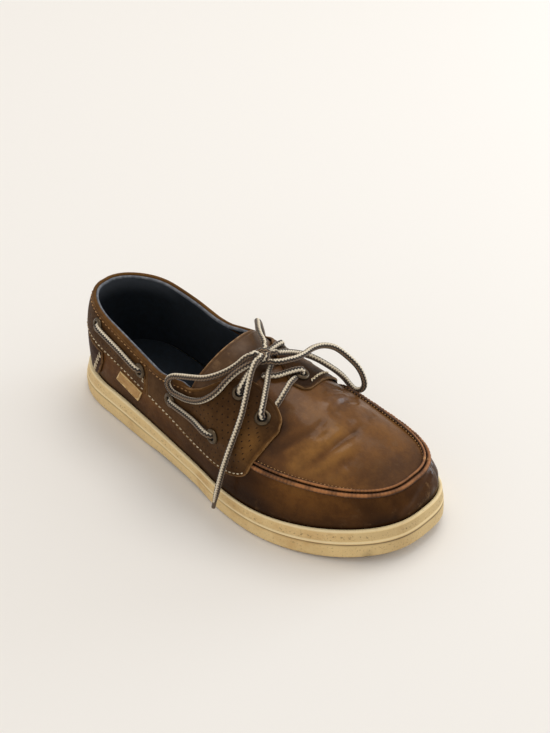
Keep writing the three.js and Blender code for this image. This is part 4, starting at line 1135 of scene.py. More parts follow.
def shineField(base):
    # Largest of the streaks strength x exp(-(d / width)^2), broken up by slow waves
    shine = np.zeros(base.shape[:2])
    for streak in shineTable:
        knots = np.array(streak["line"])
        line = denser(lastPoint(knots[:, 0], knots[:, 1]), 12)
        distance, index = nearest(base, line)
        fade = np.sin(np.pi * np.clip((index + 1) / (len(line) + 1), 0, 1)) ** 0.7
        shine = np.maximum(shine, streak["strength"] * bell(distance, streak["width"]) * fade)
    return np.clip(shine * (0.8 + 0.55 * softWaves(base, 5.0, 6)), 0, 1)


upperSet = {"thickness": 1.0, "under": -1.0, "around": 200, "plugBack": 0.62}


def makeWall(upperSet):
    # Leather wall: closed ring of the last from inside the cup to the top line, 1 mm thick
    turns = ringTurns(upperSet["around"])[:, None]
    levels = graded(44, 0.5)[None, :]
    base = offLast(turns, levels, 0.0)
    height, tone = creaseFields(base)
    s, _ = sideOf(turns)
    height = height + 0.22 * softWaves(base, 30.0, 11) * smooth(0, 0.2, levels)
    # Tone: darker towards the bottom of the wall, at the toe tip and round the throat; painted shade in a line
    # where the wall goes under the sole's rim and in the groove along the seam in front; a lighter patch at the
    # front and towards the heel; slow waves of dye
    tone = tone - 0.55 * smooth(0.55, 0.05, levels) - 0.35 * smooth(0.90, 0.98, s) * smooth(1.0, 0.7, levels)
    tone = tone - 0.50 * bell(s - 0.66, 0.11) - 0.28 * smooth(1.05, 0.6,
                                                              levels) + 0.25 * softWaves(base, 30.0, 12)
    tone = tone - 0.55 * bell(levels - 0.12, 0.05) - 0.9 * bell(levels - 1.0, 0.03) * smooth(0.60, 0.68, s)
    tone = tone + 0.30 * bell(s - 0.80, 0.07) * bell(levels - 0.72, 0.30) + 0.2 * smooth(0.5, 0.3, s)
    rub = 0.10 + 0.25 * smooth(0.93, 1.0, s) + 0 * levels
    up = lastNormal(turns, levels)
    outer = base + up * height[..., None]
    inner = base + up * upperSet["under"]
    rows, columns = base.shape[:2]
    faces, _ = gridFaces(rows, columns * 2, True, True)
    points = np.concatenate([outer, inner[:, ::-1]], 1)
    both = lambda v: np.concatenate([np.broadcast_to(v, base.shape[:2]),
                                     np.broadcast_to(v, base.shape[:2])[:, ::-1]], 1)
    # The inner face is painted dark all over: painted shade inside the shoe
    tones = np.concatenate([np.broadcast_to(tone, base.shape[:2]), np.full(base.shape[:2], -1.0)], 1)
    return points, faces, {"edge": both(np.full((1, 1), 9.0)), "tone": tones, "rub": both(rub),
                           "shine": both(shineField(base))}


wallPoints, wallFaces, wallValues = makeWall(upperSet)
wall = meshObject("upper_wall", wallPoints, wallFaces, None, wallValues, wallLeather)
dress(wall, "upper_leather", "upper")


def plugGrid(turnCount, levelCount):
    # Stations from the throat to the tip along a sine, levels from side to side with closer steps at the seam
    s = upperSet["plugBack"] + (1 - upperSet["plugBack"]) * np.sin(np.linspace(0, 1, turnCount) * np.pi / 2)
    across = np.sin(np.linspace(-1, 1, levelCount) * np.pi / 2)
    across = 0.35 * across + 0.65 * np.linspace(-1, 1, levelCount)
    turns = np.where(across[None, :] <= 0, s[:, None], 2 - s[:, None])
    turns = np.where(s[:, None] > 0.99999, 1.0, turns)
    return turns, np.broadcast_to(2 - np.abs(across)[None, :], turns.shape)


def makePlug(upperSet):
    # Toe plug: the top of the last from the throat to the tip, with creases; shut at its underside
    turns, levels = plugGrid(150, 121)
    base = offLast(turns, levels, 0.0)
    height, tone = creaseFields(base)
    s, side = sideOf(turns)
    inward = smooth(1.0, 1.12, levels)
    height = height * inward + 0.3 * softWaves(base, 34.0, 21) * inward
    # Tone: painted shade in a band just in front of the flaps at the throat and in the groove along the seam; a
    # lighter patch on the lateral side, darker low on the medial side and near the tip; slow waves of dye
    tone = tone + 0.22 * softWaves(base, 30.0, 22)
    tone = tone - 0.5 * bell(s - 0.700, 0.03) * smooth(2.2, 1.2,
                                                       levels) + 0.25 * bell(s - 0.83, 0.06) * (side < 0)
    tone = tone - 0.2 * (side > 0) * smooth(1.6, 1.0, levels) - 0.75 * bell(levels - 1.0, 0.05)
    tone = tone - 0.35 * bell(s - 0.965, 0.04) * smooth(1.05, 1.3, levels)
    up = lastNormal(turns, levels)
    tip = smooth(0.99, 1.0, s)[..., None]
    up = unit(up * (1 - tip) + tip * np.array([0.5, 0, 0.85]))
    outer = base + up * height[..., None]
    inner = base - up * 1.0
    points = np.concatenate([outer.reshape(-1, 3), inner.reshape(-1, 3)])
    faces, _ = gridFaces(*base.shape[:2], False, False)
    count = base.shape[0] * base.shape[1]
    index = np.arange(count).reshape(base.shape[:2])
    rim = np.concatenate([index[:, 0], index[-1, 1:], index[-2::-1, -1], index[0, -2:0:-1]])
    skirt = np.stack([rim, np.roll(rim, -1), np.roll(rim, -1) + count, rim + count], -1)
    allFaces = np.concatenate([faces, faces[:, ::-1] + count, skirt])
    twice = lambda v: np.concatenate([v.ravel(), v.ravel()])
    return points, allFaces, {"edge": np.full(2 * count, 9.0), "tone": twice(tone),
                              "rub": np.full(2 * count, 0.12),
                               "shine": twice(shineField(base))}


plugPoints, plugFaces, plugValues = makePlug(upperSet)
plug = meshObject("upper_plug", plugPoints, plugFaces, None, plugValues, upperLeather)
dress(plug, "upper_leather", "upper")
print("upper made")


def liningSheet(turns, levels, top, thick, close):
    # Cloth behind the leather, one closed sheet between two heights
    turns, levels = np.broadcast_arrays(turns, levels)
    up = lastNormal(turns, levels)
    place = lastPoint(turns, levels)
    outer, inner = place + up * top, place + up * (top - thick)
    rows, columns = place.shape[:2]
    points = np.concatenate([outer, inner[:, ::-1]], 1)
    faces, _ = gridFaces(rows, columns * 2, close, True)
    s, _ = sideOf(turns)
    tone = 0.9 * smooth(0.20, 0.06, s) * smooth(0.66, 0.92, levels) + 0.06 * smooth(0.85, 1.0, levels)
    return points, faces, np.concatenate([tone, tone[:, ::-1]], 1)


linePoints, lineFaces, lineTone = liningSheet(ringTurns(90)[:, None], np.linspace(0, 1, 26)[None, :], -1.08,
                                              0.9, True)
lining = meshObject("upper_lining", linePoints, lineFaces, None, {"tone": lineTone}, liningCloth)
dress(lining, "footbed_cloth", "upper")
print("lining made")

# Seam between wall and plug
seamSet = {"stations": 1100, "from": 0.672, "to": 1.350, "outerAway": -1.9, "innerAway": 1.35,
           "outerSize": (1.60, 1.50),
           "innerSize": (1.1, 1.25), "stitchPitch": 2.4}


def makeSeamRoll(name, away, size, lift, seed):
    # Rolled leather edge: an ellipse carried along the top line, moved across it by away, that
    # swells and thins a little and sinks under the side pieces at both ends
    sweep = np.cos(np.linspace(0, np.pi, seamSet["stations"]))
    turns = 1 - sweep * 0.5 * (seamSet["to"] - seamSet["from"]) - (1 - (seamSet["to"] + seamSet["from"]) / 2)
    level = np.ones_like(turns)
    place, up = lastPoint(turns, level), lastNormal(turns, level)
    tangent = unit(np.gradient(place, axis=0))
    across = unit(np.cross(up, tangent))
    up = unit(np.cross(tangent, across))
    s, side = sideOf(turns)
    show = np.where(side < 0, smooth(0.690, 0.728, s), smooth(0.665, 0.700, s))
    beat = np.sin(lengthsAlong(place, 0) * 2 * np.pi / seamSet["stitchPitch"])
    pull = 1 + 0.14 * softWaves(place, 7.0, seed) + 0.10 * beat
    centre = place + across * away + up * (lift * show - 1.2 * (1 - show))[:, None]
    angle = np.linspace(0, 2 * np.pi, 18, endpoint=False)
    wide, tall = size
    ring = (np.cos(angle)[None, :, None] * across[:, None] * wide
            + np.sin(angle)[None, :, None] * up[:, None] * tall * pull[:, None, None])
    ring = ring * (0.3 + 0.7 * show)[:, None, None]
    ring[[0, -1]] *= 0.02
    points = centre[:, None] + ring
    faces, _ = gridFaces(len(turns), 18, False, True)
    # Tone: the crest painted tan as a highlight, stronger in patches of rubbed wear and towards the toe; the
    # flanks and underside painted dark as shade
    crest = np.clip(np.sin(angle), 0, 1)[None, :] ** 2
    worn = 0.40 + 0.80 * smooth(-0.2, 0.5, softWaves(place, 14.0,
                                                     seed + 1) + 0.5 * smooth(0.85, 1.0, s)) + 0.15 * beat
    tone = crest * worn[:, None] * 1.1 - 0.75 * (1 - crest)
    rub = np.broadcast_to(0.35 + 0.65 * smooth(0.92, 1.0, s)[:, None], tone.shape)
    return meshObject(name, points, faces, None, {"edge": np.full(tone.shape, 9.0), "tone": tone, "rub": rub},
                      seamLeather)


dress(makeSeamRoll("seam_roll_outer", seamSet["outerAway"], seamSet["outerSize"], 0.75, 31), "upper_leather",
      "upper")
dress(makeSeamRoll("seam_roll_inner", seamSet["innerAway"], seamSet["innerSize"], 0.45, 41), "upper_leather",
      "upper")


def seamStitches():
    # Stitches of the plug, a fixed distance inside the rolled seam: the level that lies there is
    # looked up along each line across the plug
    turns = np.linspace(0.712, 1.318, 500)
    fine = np.linspace(1.0, 1.6, 60)
    grid = lastPoint(turns[:, None], fine[None, :])
    walked = lengthsAlong(grid, 1)
    levels = np.array([np.interp(2.75, row, fine) for row in walked])
    near = (np.abs(turns - 1) > 0.004)
    return stitchRow(turns[near], levels[near], np.full(near.sum(), 0.35), seamSet["stitchPitch"], 0.42)


dress(stitchObject("seam_stitches", *seamStitches(), 0.36, tanThread), "upper_leather", "upper")
print("seam made")

# Collar
quarterTable = {
    "lateral": {
        "at": [0.314, 0.360, 0.400, 0.450, 0.485, 0.520, 0.565, 0.600, 0.630, 0.660, 0.690, 0.710, 0.724,
               0.733],
        "low": [0.530, 0.510, 0.500, 0.475, 0.455, 0.450, 0.460, 0.475, 0.500, 0.560, 0.670, 0.880, 1.150,
                1.420],
        "high": [1.000, 1.020, 1.075, 1.155, 1.200, 1.320, 1.565, 1.715, 1.765, 1.745, 1.720, 1.665, 1.590,
                 1.460]},
    "medial": {
        "at": [0.314, 0.360, 0.400, 0.450, 0.485, 0.520, 0.560, 0.600, 0.640, 0.660, 0.675, 0.690, 0.700,
               0.706],
        "low": [0.530, 0.510, 0.500, 0.475, 0.455, 0.450, 0.460, 0.480, 0.560, 0.760, 1.060, 1.400, 1.620,
                1.780],
        "high": [1.000, 1.020, 1.075, 1.155, 1.220, 1.380, 1.620, 1.780, 1.870, 1.920, 1.935, 1.915, 1.880,
                 1.820]},
}
overlaySet = {"gap": 0.6, "thickness": 1.5}


def overlayLift(s, level):
    # Room under an overlay: the gap, and a hump over the edge between wall and plug
    return overlaySet["gap"] + 0.9 * bell(level - 1, 0.16) * smooth(0.5, 0.6, s)


def turnOf(side, s):
    # Turn of a station: s on the lateral side, 2 - s on the medial side
    return s if side == "lateral" else 2 - s


collarSet = {"end": 0.475, "bandEnd": 0.318, "fade": 8}


def collarLine(count):
    # Top edge from one end of the collar round the heel to the other: level 1 on the heel band,
    # the side pieces' upper edge further forward
    position = np.linspace(-collarSet["end"], collarSet["end"], count)
    s = np.abs(position)
    high = np.where(position < 0, curveOf(quarterTable["lateral"], "high")(s),
                    curveOf(quarterTable["medial"], "high")(s))
    return np.mod(np.where(position < 0, s, 2 - s), 2), np.where(s < collarSet["bandEnd"], 1.0,
                                                                 np.maximum(high, 1.0)), s


def collarRoll(name, heightHeel, heightFront, drop, radius, flat, material, slotName, tone):
    # Elliptic cord along the collar line, moved out by the height and up by the drop, thin at both ends
    turns, levels, s = collarLine(520)
    front = smooth(0.30, 0.40, s)
    place = lastPoint(turns, levels)
    up = unit(lastNormal(turns, np.where(s < collarSet["bandEnd"], 0.97, levels)))
    tangent = unit(np.gradient(place, axis=0))
    rise = unit(np.cross(tangent, up) * -1.0)
    rise = np.where((rise[:, 2] < 0)[:, None], -rise, rise)
    path = place + up * (heightHeel * (1 - front) + heightFront * front)[:, None] + rise * drop
    fade = collarSet["fade"]
    taper = smooth(0, fade, lengthsAlong(path, 0)) * smooth(0, fade, lengthsAlong(path[::-1], 0))[::-1]
    piece = tubeObject(name, path, radius, material, sides=16, taper=0.25 + 0.75 * taper,
                       frames=(tangent, up, rise), flat=flat)
    count = len(piece.data.vertices)
    for key, value in (("tone", tone), ("edge", 9.0), ("rub", 0.4)):
        piece.data.attributes.new(key, "FLOAT",
                                  "POINT").data.foreach_set("value", np.full(count, value, np.float32))
    return dress(piece, slotName)


collarRoll("collar_roll", 0.95, 1.25, 0.15, 1.35, 1.15, quarterLeather, "side_leather", 0.25)
collarRoll("collar_binding", -1.15, -0.25, 0.05, 1.05, 1.25, bindingCloth, "footbed_cloth", 0.0)
print("collar made")

# Tongue
tongueSet = {"start": -0.7, "dip": 2.2, "thickness": 3.0}
tongueTable = {"at": [-0.86, -0.4, 0, 0.4, 0.86], "back": [0.47, 0.498, 0.506, 0.49, 0.455],
               "front": [0.66, 0.69, 0.70, 0.69, 0.66]}


def makeTongue():
    # Sheet between the table's back and front edges, from one side over the ridge to the other
    across = 0.86 * (2 * graded(120, 0.7) - 1)
    back, front = curveOf(tongueTable, "back")(across), curveOf(tongueTable, "front")(across)
    s = back[None, :] + graded(110, 0.8)[:, None] * (front - back)[None, :]
    side = across[None, :] + 0 * s
    turns, levels = np.where(side <= 0, s, 2 - s), 2 - np.abs(side)
    under = tongueSet["start"] - tongueSet["dip"] * smooth(0.54, 0.59, s) - tongueSet["thickness"]
    # The tone lightens a line along the rounded edge to tan, a painted highlight, over slow waves of dye
    settings = {"edgeRadius": 1.6, "thickness": tongueSet["thickness"],
                "paint": lambda t, l, base, edge: (0.10 * softWaves(base, 26.0,
                                                                    51) + 0.5 * bell(edge - 0.9, 0.8),
                                                                    0.3 + 0 * edge)}
    wrinkles = lambda base, edge: 0.25 * softWaves(base, 22.0, 52) - 0.3 * bell(edge - 3.2, 0.5)
    return leatherSheet("tongue_leather", turns, levels, under, settings, tongueLeather, wrinkles)


dress(makeTongue(), "tongue_leather", "tongue")
print("tongue made")


# Side pieces, heel band, counter
def addHoles(piece, inset, keepOff, extra=None):
    # Attribute that lets the punched holes show: away from the outline and from the eyelets
    mesh = piece.data
    count = len(mesh.vertices)
    place = np.empty(count * 3, np.float32)
    mesh.vertices.foreach_get("co", place)
    place = place.reshape(-1, 3) / mm
    edge = np.empty(count, np.float32)
    mesh.attributes["edge"].data.foreach_get("value", edge)
    show = smooth(inset, inset + 1.0, edge)
    for spot in keepOff:
        show = show * smooth(6.6, 7.4, np.linalg.norm(place - spot, axis=1))
    if extra is not None:
        show = show * extra(place)
    mesh.attributes.new("holes", "FLOAT", "POINT").data.foreach_set("value", show.astype(np.float32))


eyeletTable = {
    "heel": {"lateral": (0.108, 0.84), "medial": (0.108, 0.84)},
    "waist_back": {"lateral": (0.292, 0.79), "medial": (0.292, 0.79)},
    "waist_front": {"lateral": (0.415, 0.79), "medial": (0.415, 0.79)},
    "vamp": {"lateral": (0.588, 0.95), "medial": (0.588, 0.95)},
    "throat_upper": {"lateral": (0.609, 1.55), "medial": (0.577, 1.60)},
    "throat_lower": {"lateral": (0.684, 1.49), "medial": (0.664, 1.74)},
}


def eyeletSpots(side, names):
    # Places of the eyelets named, 2 mm over the last
    return [offLast(turnOf(side, eyeletTable[n][side][0]), eyeletTable[n][side][1], 2.0) for n in names]


def makeQuarter(side):
    # Overlay between its table's low and high edges; a pressed groove carries the stitches near the low
    # edge, soft dents pull in at the eyelets, and the tab's edge is rubbed pale
    table = quarterTable[side]
    first, last = table["at"][0], table["at"][-1]
    u = np.linspace(0, 1, 190)
    u = u - 0.4 * np.sin(2 * np.pi * u) / (2 * np.pi)
    s = first + (last - first) * np.sin(u * np.pi / 2)
    low, high = curveOf(table, "low")(s), curveOf(table, "high")(s)
    levels = low[:, None] + graded(84, 0.8)[None, :] * (high - low)[:, None]
    turns = np.broadcast_to(turnOf(side, s)[:, None], levels.shape)
    spots = eyeletSpots(side, ["waist_front", "vamp", "throat_upper", "throat_lower"])

    def press(base, edge):
        # Slow waves, the groove under the stitches, and dents at the eyelets
        dents = sum(-0.35 * bell(np.linalg.norm(base - spot, axis=-1), 8.0) for spot in spots)
        return 0.18 * softWaves(base, 24.0, 61) - 0.28 * bell(edge - 2.6, 0.45) + dents

    def tint(t, l, base, edge):
        # Waves, pale groove and tab, and a darker front
        station, _ = sideOf(t)
        tab = smooth(0.685, 0.705, station) * bell(edge, 1.0)
        tone = 0.10 * softWaves(base, 30.0, 62) + 0.35 * tab + 0.22 * bell(edge - 1.2, 0.9)
        tone = tone + 0.30 * bell(station - 0.69, 0.02) * bell(l - 1.15, 0.25)
        flap = 0.55 * smooth(0.62, 0.67, station) if side == "medial" else 0.0
        return tone - 0.25 * smooth(0.52, 0.60, station) * smooth(1.2, 1.5, l) - flap, 0.12 + 0 * edge

    settings = {"edgeRadius": 0.9, "thickness": overlaySet["thickness"], "paint": tint}
    under = overlayLift(s[:, None], levels)
    piece = leatherSheet(f"quarter_{side}_leather", turns, levels, under, settings, quarterLeather, press)
    addHoles(piece, 5.0, spots, lambda place: smooth(-8.0, -4.0, place[:, 0]))
    return dress(piece, "side_leather", f"quarter_{side}")


for side in ("lateral", "medial"):
    makeQuarter(side)

bandTable = {"at": [0, 0.13, 0.20, 0.313], "low": [0.60, 0.585, 0.565, 0.53]}
counterTable = {"at": [0, 0.06, 0.095, 0.13], "low": [0.15, 0.15, 0.20, 0.45],
                "high": [0.575, 0.57, 0.565, 0.56]}


def aroundHeel(count, reach):
    # Signed stations round the heel, closer at its back: reach times 0.6 x |x| + 0.4 x
    x = np.linspace(-1, 1, count)
    return reach * (0.6 * x * np.abs(x) + 0.4 * x)


def makeBand():
    # Overlay round the heel between its low edge and the collar
    position = aroundHeel(300, 0.313)
    s = np.abs(position)
    low = curveOf(bandTable, "low")(s)
    levels = low[:, None] + graded(50, 0.8)[None, :] * (1.0 - low)[:, None]
    turns = np.broadcast_to(np.mod(position, 2)[:, None], levels.shape)
    spots = eyeletSpots("lateral", ["heel", "waist_back"]) + eyeletSpots("medial", ["heel", "waist_back"])

    def press(base, edge):
        # Slow waves, the groove under the stitches, and dents at the eyelets
        dents = sum(-0.35 * bell(np.linalg.norm(base - spot, axis=-1), 7.0) for spot in spots)
        return 0.15 * softWaves(base, 24.0, 71) - 0.28 * bell(edge - 2.4, 0.45) + dents

    def tint(t, l, base, edge):
        # Waves, pale groove, and a paler upper edge
        return 0.10 * softWaves(base, 28.0, 72) + 0.2 * bell(edge - 1.2,
                                                             0.9) + 0.15 * smooth(0.9, 1.0, l), 0.15 + 0 * edge

    settings = {"edgeRadius": 0.9, "thickness": overlaySet["thickness"], "paint": tint}
    piece = leatherSheet("heel_band_leather", turns, levels, np.full(levels.shape, overlaySet["gap"]),
                         settings, quarterLeather, press)
    addHoles(piece, 5.0, spots)
    return dress(piece, "side_leather", "heel_band")


def makeCounter():
    # Overlay on the back of the heel, below the band
    position = aroundHeel(220, 0.13)
    s = np.abs(position)
    low, high = curveOf(counterTable, "low")(s), curveOf(counterTable, "high")(s)
    levels = low[:, None] + graded(44, 0.8)[None, :] * (high - low)[:, None]
    turns = np.broadcast_to(np.mod(position, 2)[:, None], levels.shape)
    settings = {"edgeRadius": 0.8, "thickness": 1.2,
                "paint": lambda t, l, base, edge: (0.08 * softWaves(base, 24.0,
                                                                    81) - 0.2 * smooth(0.3, 0.15, l),
                                                                    0.2 + 0 * edge)}
    piece = leatherSheet("heel_counter_leather", turns, levels, np.full(levels.shape, overlaySet["gap"]),
                         settings, counterLeather,
                         lambda base, edge: 0.2 * softWaves(base, 22.0, 82))
    return dress(piece, "counter_leather", "heel_counter")


makeBand()
makeCounter()


def makeThroatLining(side):
    # Thin cloth under the part of a side piece that stands above the wall
    table = quarterTable[side]
    s = np.linspace(0.335, 0.70 if side == "lateral" else 0.675, 90)
    high = curveOf(table, "high")(s)
    levels = 0.96 + np.linspace(0, 1, 30)[None, :] * np.maximum(high - 0.97 - 0.02, 0.02)[:, None]
    turns = np.broadcast_to(turnOf(side, s)[:, None], levels.shape)
    lift = overlayLift(s[:, None], levels) - 0.08
    settings = {"edgeRadius": 0.4, "thickness": 0.5}
    base = lift - 0.5
    return dress(leatherSheet(f"throat_lining_{side}", turns, levels, base, settings, liningCloth),
                 "footbed_cloth")


for side in ("lateral", "medial"):
    makeThroatLining(side)
print("side pieces made")

# Stitching on the side pieces
stitchSet = {"pitch": 4.0, "radius": 0.46}


def edgeRow(side, table, first, last, away, upward=True, column="low", height=None, pitch=None):
    # Stitches a fixed distance in millimetres above or below one edge of an overlay
    s = np.linspace(first, last, 260)
    edge = curveOf(table, column)(s)
    fine = np.linspace(0, 0.45, 60) * (1 if upward else -1)
    turns = turnOf(side, s)
    grid = lastPoint(np.broadcast_to(turns[:, None], (260, 60)), edge[:, None] + fine[None, :])
    walked = lengthsAlong(grid, 1)
    levels = edge + np.array([np.interp(away, row, fine) for row in walked])
    lift = overlayLift(s, levels) + overlaySet["thickness"] - 0.12 if height is None else np.full(260, height)
    return stitchRow(turns, levels, lift, pitch or stitchSet["pitch"])


sideRows, collarRows, zigRows = [], [], []
for side in ("lateral", "medial"):
    tabLast = 0.700 if side == "lateral" else 0.655
    sideRows.append(edgeRow(side, quarterTable[side], 0.322, tabLast, 2.6))
    sideRows.append(edgeRow(side, bandTable, 0.02, 0.308, 2.4, height=1.98))
    collarRows.append(edgeRow(side, {"at": [0, collarSet["bandEnd"]], "low": [1.0, 1.0]}, 0.004, 0.316, 2.5,
                              upward=False, height=2.0))
    collarRows.append(edgeRow(side, quarterTable[side], 0.322, 0.50, 2.6, upward=False, column="high"))
dress(stitchObject("side_stitches", *joinRows(sideRows), stitchSet["radius"], paleThread), "side_leather")
dress(stitchObject("collar_stitches", *joinRows(collarRows), 0.4, tanThread), "side_leather")


def zigzag(side, first, last, width, count, height):
    # Zigzag between two lines along an edge: every stitch runs from one line to the other
    t = np.linspace(0, 1, count + 1)
    s = first[0] + (last[0] - first[0]) * t
    level = first[1] + (last[1] - first[1]) * t
    middle = offLast(turnOf(side, s), level, height)
    normal = lastNormal(turnOf(side, s), level)
    along = unit(np.gradient(middle, axis=0))
    across = np.cross(normal, along)
    swing = np.where(np.arange(count + 1) % 2 == 0, -0.5, 0.5)[:, None] * width
    points = middle + across * swing
    return points[:-1], points[1:], unit(normal[:-1] + normal[1:])


for side in ("lateral", "medial"):
    zigRows.append(zigzag(side, (0.074, 0.20), (0.124, 0.53), 4.6, 11, 1.85))
    if side == "medial":
        zigRows.append(zigzag(side, (0.665, 1.20), (0.691, 1.74), 1.9, 15, 3.0))
dress(stitchObject("zigzag_stitches", *joinRows(zigRows), 0.45, paleThread), "side_leather")

seamRows = []
for side in ("lateral", "medial"):
    seamRows.append(zigzag(side, (0.302, 0.66), (0.302, 0.85), 2.2, 9, 2.0))
dress(stitchObject("joint_stitches", *joinRows(seamRows), 0.36, paleThread), "side_leather")
print("stitches made")

# Blank tag on the outer side
tagSet = {"corners": [(0.201, 0.509), (0.289, 0.478), (0.268, 0.308), (0.180, 0.365)], "thickness": 0.9}


def makeTag(tagSet):
    # Bilinear patch between four corners on the last, with a pressed border
    u, v = np.meshgrid(graded(60, 0.8), graded(40, 0.8), indexing="ij")
    c = np.array(tagSet["corners"])
    spot = (((1 - u) * (1 - v))[..., None] * c[3] + (u * (1 - v))[..., None] * c[2]
            + (u * v)[..., None] * c[1] + ((1 - u) * v)[..., None] * c[0])
    settings = {"edgeRadius": 0.6, "thickness": tagSet["thickness"],
                "paint": lambda t, l, base, edge: (0.3 * bell(edge - 2.4, 1.6) - 0.4 * bell(edge - 1.5, 0.3),
                                                   0.5 + 0 * edge)}
    return leatherSheet("side_tag_leather", spot[..., 0], spot[..., 1], np.full(u.shape, 0.15), settings,
                        tagLeather,
                        lambda base, edge: -0.25 * bell(edge - 1.5, 0.35) + 0.1 * softWaves(base, 8.0, 91))


dress(makeTag(tagSet), "side_leather")

# Eyelets
eyeletSet = {"sides": 40, "discRadius": 3.2, "discRings": 4, "discLift": 0.12,
             "profile": [(2.75, -0.6), (2.75, 0.7), (2.95, 1.3), (3.4, 1.62), (4.0, 1.68), (4.7, 1.45),
                         (5.2, 0.95),
                         (5.4, 0.35), (5.3, -0.1), (4.2, -0.3), (3.4, -0.6)]}


def makeEyelet(name, side, spot):
    # Ring turned round the outward direction of the last at its place
    turn, level = turnOf(side, spot[0]), spot[1]
    up = lastNormal(turn, level)
    first = unit(np.cross(up, np.array([0.0, 0.0, 1.0])))
    second = np.cross(up, first)
    centre = offLast(turn, level, overlayLift(spot[0], level) + overlaySet["thickness"])
    profile = np.array(eyeletSet["profile"])
    angle = np.linspace(0, 2 * np.pi, eyeletSet["sides"], endpoint=False)
    ring = np.cos(angle)[:, None] * first + np.sin(angle)[:, None] * second
    points = centre + profile[None, :, 0, None] * ring[:, None] + profile[None, :, 1, None] * up
    faces, _ = gridFaces(eyeletSet["sides"], len(profile), True, True)
    piece = meshObject(f"eyelet_ring_{name}_{side}", points, faces, None, None, eyeletMetal)
    dress(piece, "eyelet_brass", f"eyelet_{name}_{side}")
    # Points of a dark disc inside the ring, painted shade in the hole
    reach = np.linspace(0, eyeletSet["discRadius"], eyeletSet["discRings"])
    return centre + reach[None, :, None] * ring[:, None] + eyeletSet["discLift"] * up


# Dark discs in all eyelets: painted shade in the holes
discs = [makeEyelet(name, side, spots[side]) for name,
         spots in eyeletTable.items() for side in ("lateral", "medial")]
discFaces, _ = gridFaces(eyeletSet["sides"], eyeletSet["discRings"], True, False)
discAll = np.concatenate([discFaces + k * eyeletSet["sides"] * eyeletSet["discRings"]
                          for k in range(len(discs))])
dress(meshObject("eyelet_hole_shade", np.concatenate([d.reshape(-1, 3) for d in discs]), discAll, None, None,
                 holeShade), "eyelet_brass")
print("eyelets made")

# Lace along the sides and over the instep: side, share, level, height
laceRuns = {
    "side_lace_heel": [(0.1055, 0.840, 0.4), (0.1095, 0.840, 2.6), (0.116, 0.839, 3.9), (0.130, 0.836, 4.4),
                       (0.165, 0.827, 4.3), (0.205, 0.816, 4.15), (0.245, 0.805, 4.3), (0.270, 0.797, 4.4),
                       (0.284, 0.793, 3.9), (0.2905, 0.791, 2.6), (0.2945, 0.790, 0.4)],
    "side_lace_waist": [(0.4125, 0.788, 0.4), (0.4165, 0.791, 2.6), (0.423, 0.797, 3.9), (0.437, 0.809, 4.4),
                        (0.475, 0.842, 4.3), (0.520, 0.884, 4.4), (0.556, 0.918, 5.2), (0.573, 0.934, 5.1),
                        (0.5835, 0.945, 3.9), (0.5905, 0.952, 1.2)],
}
throatRuns = {
    "lace_crossing_outer": ("lace_crossing", [
        ("lateral", 0.684, 1.490, 1.4), ("lateral", 0.6835, 1.495, 4.0), ("lateral", 0.680, 1.515, 6.2),
        ("lateral", 0.671, 1.600, 6.2), ("lateral", 0.656, 1.720, 5.2), ("lateral", 0.641, 1.830, 4.2),
        ("lateral", 0.626, 1.930, 3.0), ("medial", 0.615, 1.980, 2.2), ("medial", 0.604, 1.900, 1.2)]),
    "lace_crossing_inner": ("lace_crossing", [
        ("medial", 0.664, 1.740, 1.4), ("medial", 0.6635, 1.745, 4.0), ("medial", 0.661, 1.760, 6.0),
        ("medial", 0.655, 1.830, 5.8), ("medial", 0.649, 1.910, 4.6), ("lateral", 0.640, 1.970, 3.4),
        ("lateral", 0.629, 1.915, 2.6), ("lateral", 0.619, 1.855, 2.2)]),
    "lace_bar_braid": ("lace_bar", [
        ("medial", 0.664, 1.800, 0.3), ("medial", 0.668, 1.900, 1.7), ("medial", 0.672, 1.985, 2.3),
        ("lateral", 0.676, 1.970, 2.4), ("lateral", 0.680, 1.910, 2.4), ("lateral", 0.684, 1.850, 2.3),
        ("lateral", 0.6865, 1.800, 1.5), ("lateral", 0.688, 1.740, 0.3), ("lateral", 0.689, 1.685, -1.0),
        ("lateral", 0.689, 1.620, -1.9)]),
    "lace_tie_lateral_braid": ("lace_tie_lateral", [
        ("lateral", 0.609, 1.550, 1.4), ("lateral", 0.6085, 1.556, 4.0), ("lateral", 0.607, 1.580, 6.2),
        ("lateral", 0.604, 1.650, 6.0), ("lateral", 0.600, 1.715, 5.2), ("lateral", 0.597, 1.780, 4.6)]),
    "lace_tie_medial_braid": ("lace_tie_medial", [
        ("medial", 0.577, 1.600, 1.4), ("medial", 0.5775, 1.606, 4.0), ("medial", 0.578, 1.630, 6.2),
        ("medial", 0.580, 1.700, 6.2), ("medial", 0.582, 1.775, 5.4), ("medial", 0.584, 1.850, 5.0)]),
}
for side in ("lateral", "medial"):
    for runName, rows in laceRuns.items():
        run = smoothPath([offLast(turnOf(side, s), level, height) for s, level, height in rows], 1.0)
        piece = tubeObject(f"{runName}_{side}_braid", run, laceSet["radius"], laceCord, sides=16)
        dress(piece, "lace_cord", f"{runName}_{side}")
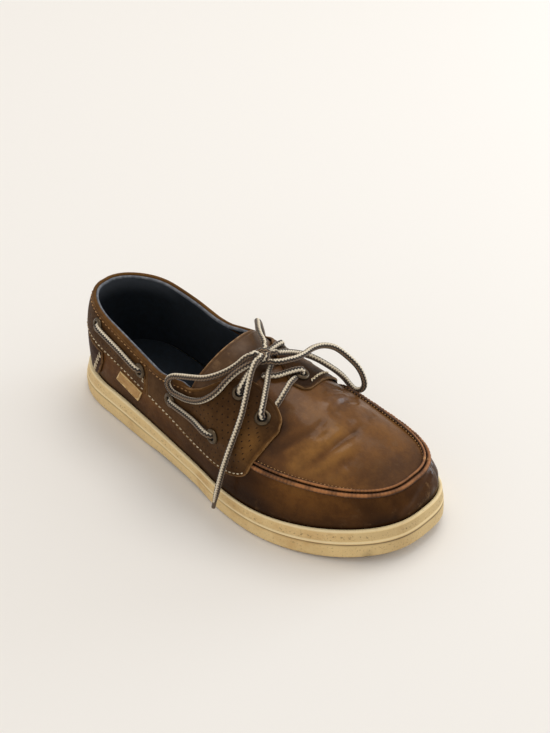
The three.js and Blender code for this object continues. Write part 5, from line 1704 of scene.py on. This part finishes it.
for runName, (node, rows) in throatRuns.items():
    points = [offLast(turnOf(side, s), level, height) for side, s, level, height in rows]
    if "tie" in runName:
        points = points + [points[-1] * 0.35 + knotPlace * 0.65, knotPlace + np.array([0, 0, -0.5])]
    piece = tubeObject(runName, smoothPath(points, 1.0), laceSet["radius"], laceCord, sides=16)
    dress(piece, "lace_cord", node)
print("lacing made")

# Floor and light
stageSet = {"floor": paint(240, 236, 230), "size": 9.0, "world": (0.99, 0.972, 0.953), "worldStrength": 0.75}


def makeFloor():
    # Square sheet under the shoe
    data = bpy.data.meshes.new("studio_floor")
    half = stageSet["size"] / 2
    data.from_pydata([(-half, -half, 0), (half, -half, 0), (half, half, 0), (-half, half, 0)], [],
                     [(0, 1, 2, 3)])
    floor = bpy.data.objects.new("studio_floor", data)
    bpy.context.scene.collection.objects.link(floor)
    material, tree, shader, place = newMaterial("studio_paper")
    shader.inputs["Base Color"].default_value = stageSet["floor"]
    shader.inputs["Roughness"].default_value = 0.9
    data.materials.append(material)


def areaLight(name, place, aim, size, power, colour):
    # Rectangular lamp turned to its aim, not seen by the camera
    data = bpy.data.lights.new(name, "AREA")
    data.shape, data.size, data.size_y = "RECTANGLE", size[0], size[1]
    data.energy, data.color = power, colour
    light = bpy.data.objects.new(name, data)
    direction = Vector(aim) - Vector(place)
    light.matrix_world = Matrix.Translation(place) @ direction.to_track_quat("-Z", "Y").to_matrix().to_4x4()
    light.visible_camera = False
    bpy.context.scene.collection.objects.link(light)


makeFloor()
world = bpy.data.worlds.new("studio")
world.use_nodes = True
world.node_tree.nodes["Background"].inputs["Color"].default_value = (*stageSet["world"], 1.0)
world.node_tree.nodes["Background"].inputs["Strength"].default_value = stageSet["worldStrength"]
bpy.context.scene.world = world
bpy.context.scene.view_settings.view_transform = "Standard"
areaLight("window_above", (-0.15, 1.05, 2.3), (0.0, 0, 0.03), (1.5, 1.3), 20.0, (1.0, 0.975, 0.94))
areaLight("window_behind", (0.50, 1.25, 0.30), (0.1, 0.02, 0.05), (0.7, 0.42), 6.0, (0.74, 0.87, 1.0))
print("stage lit")
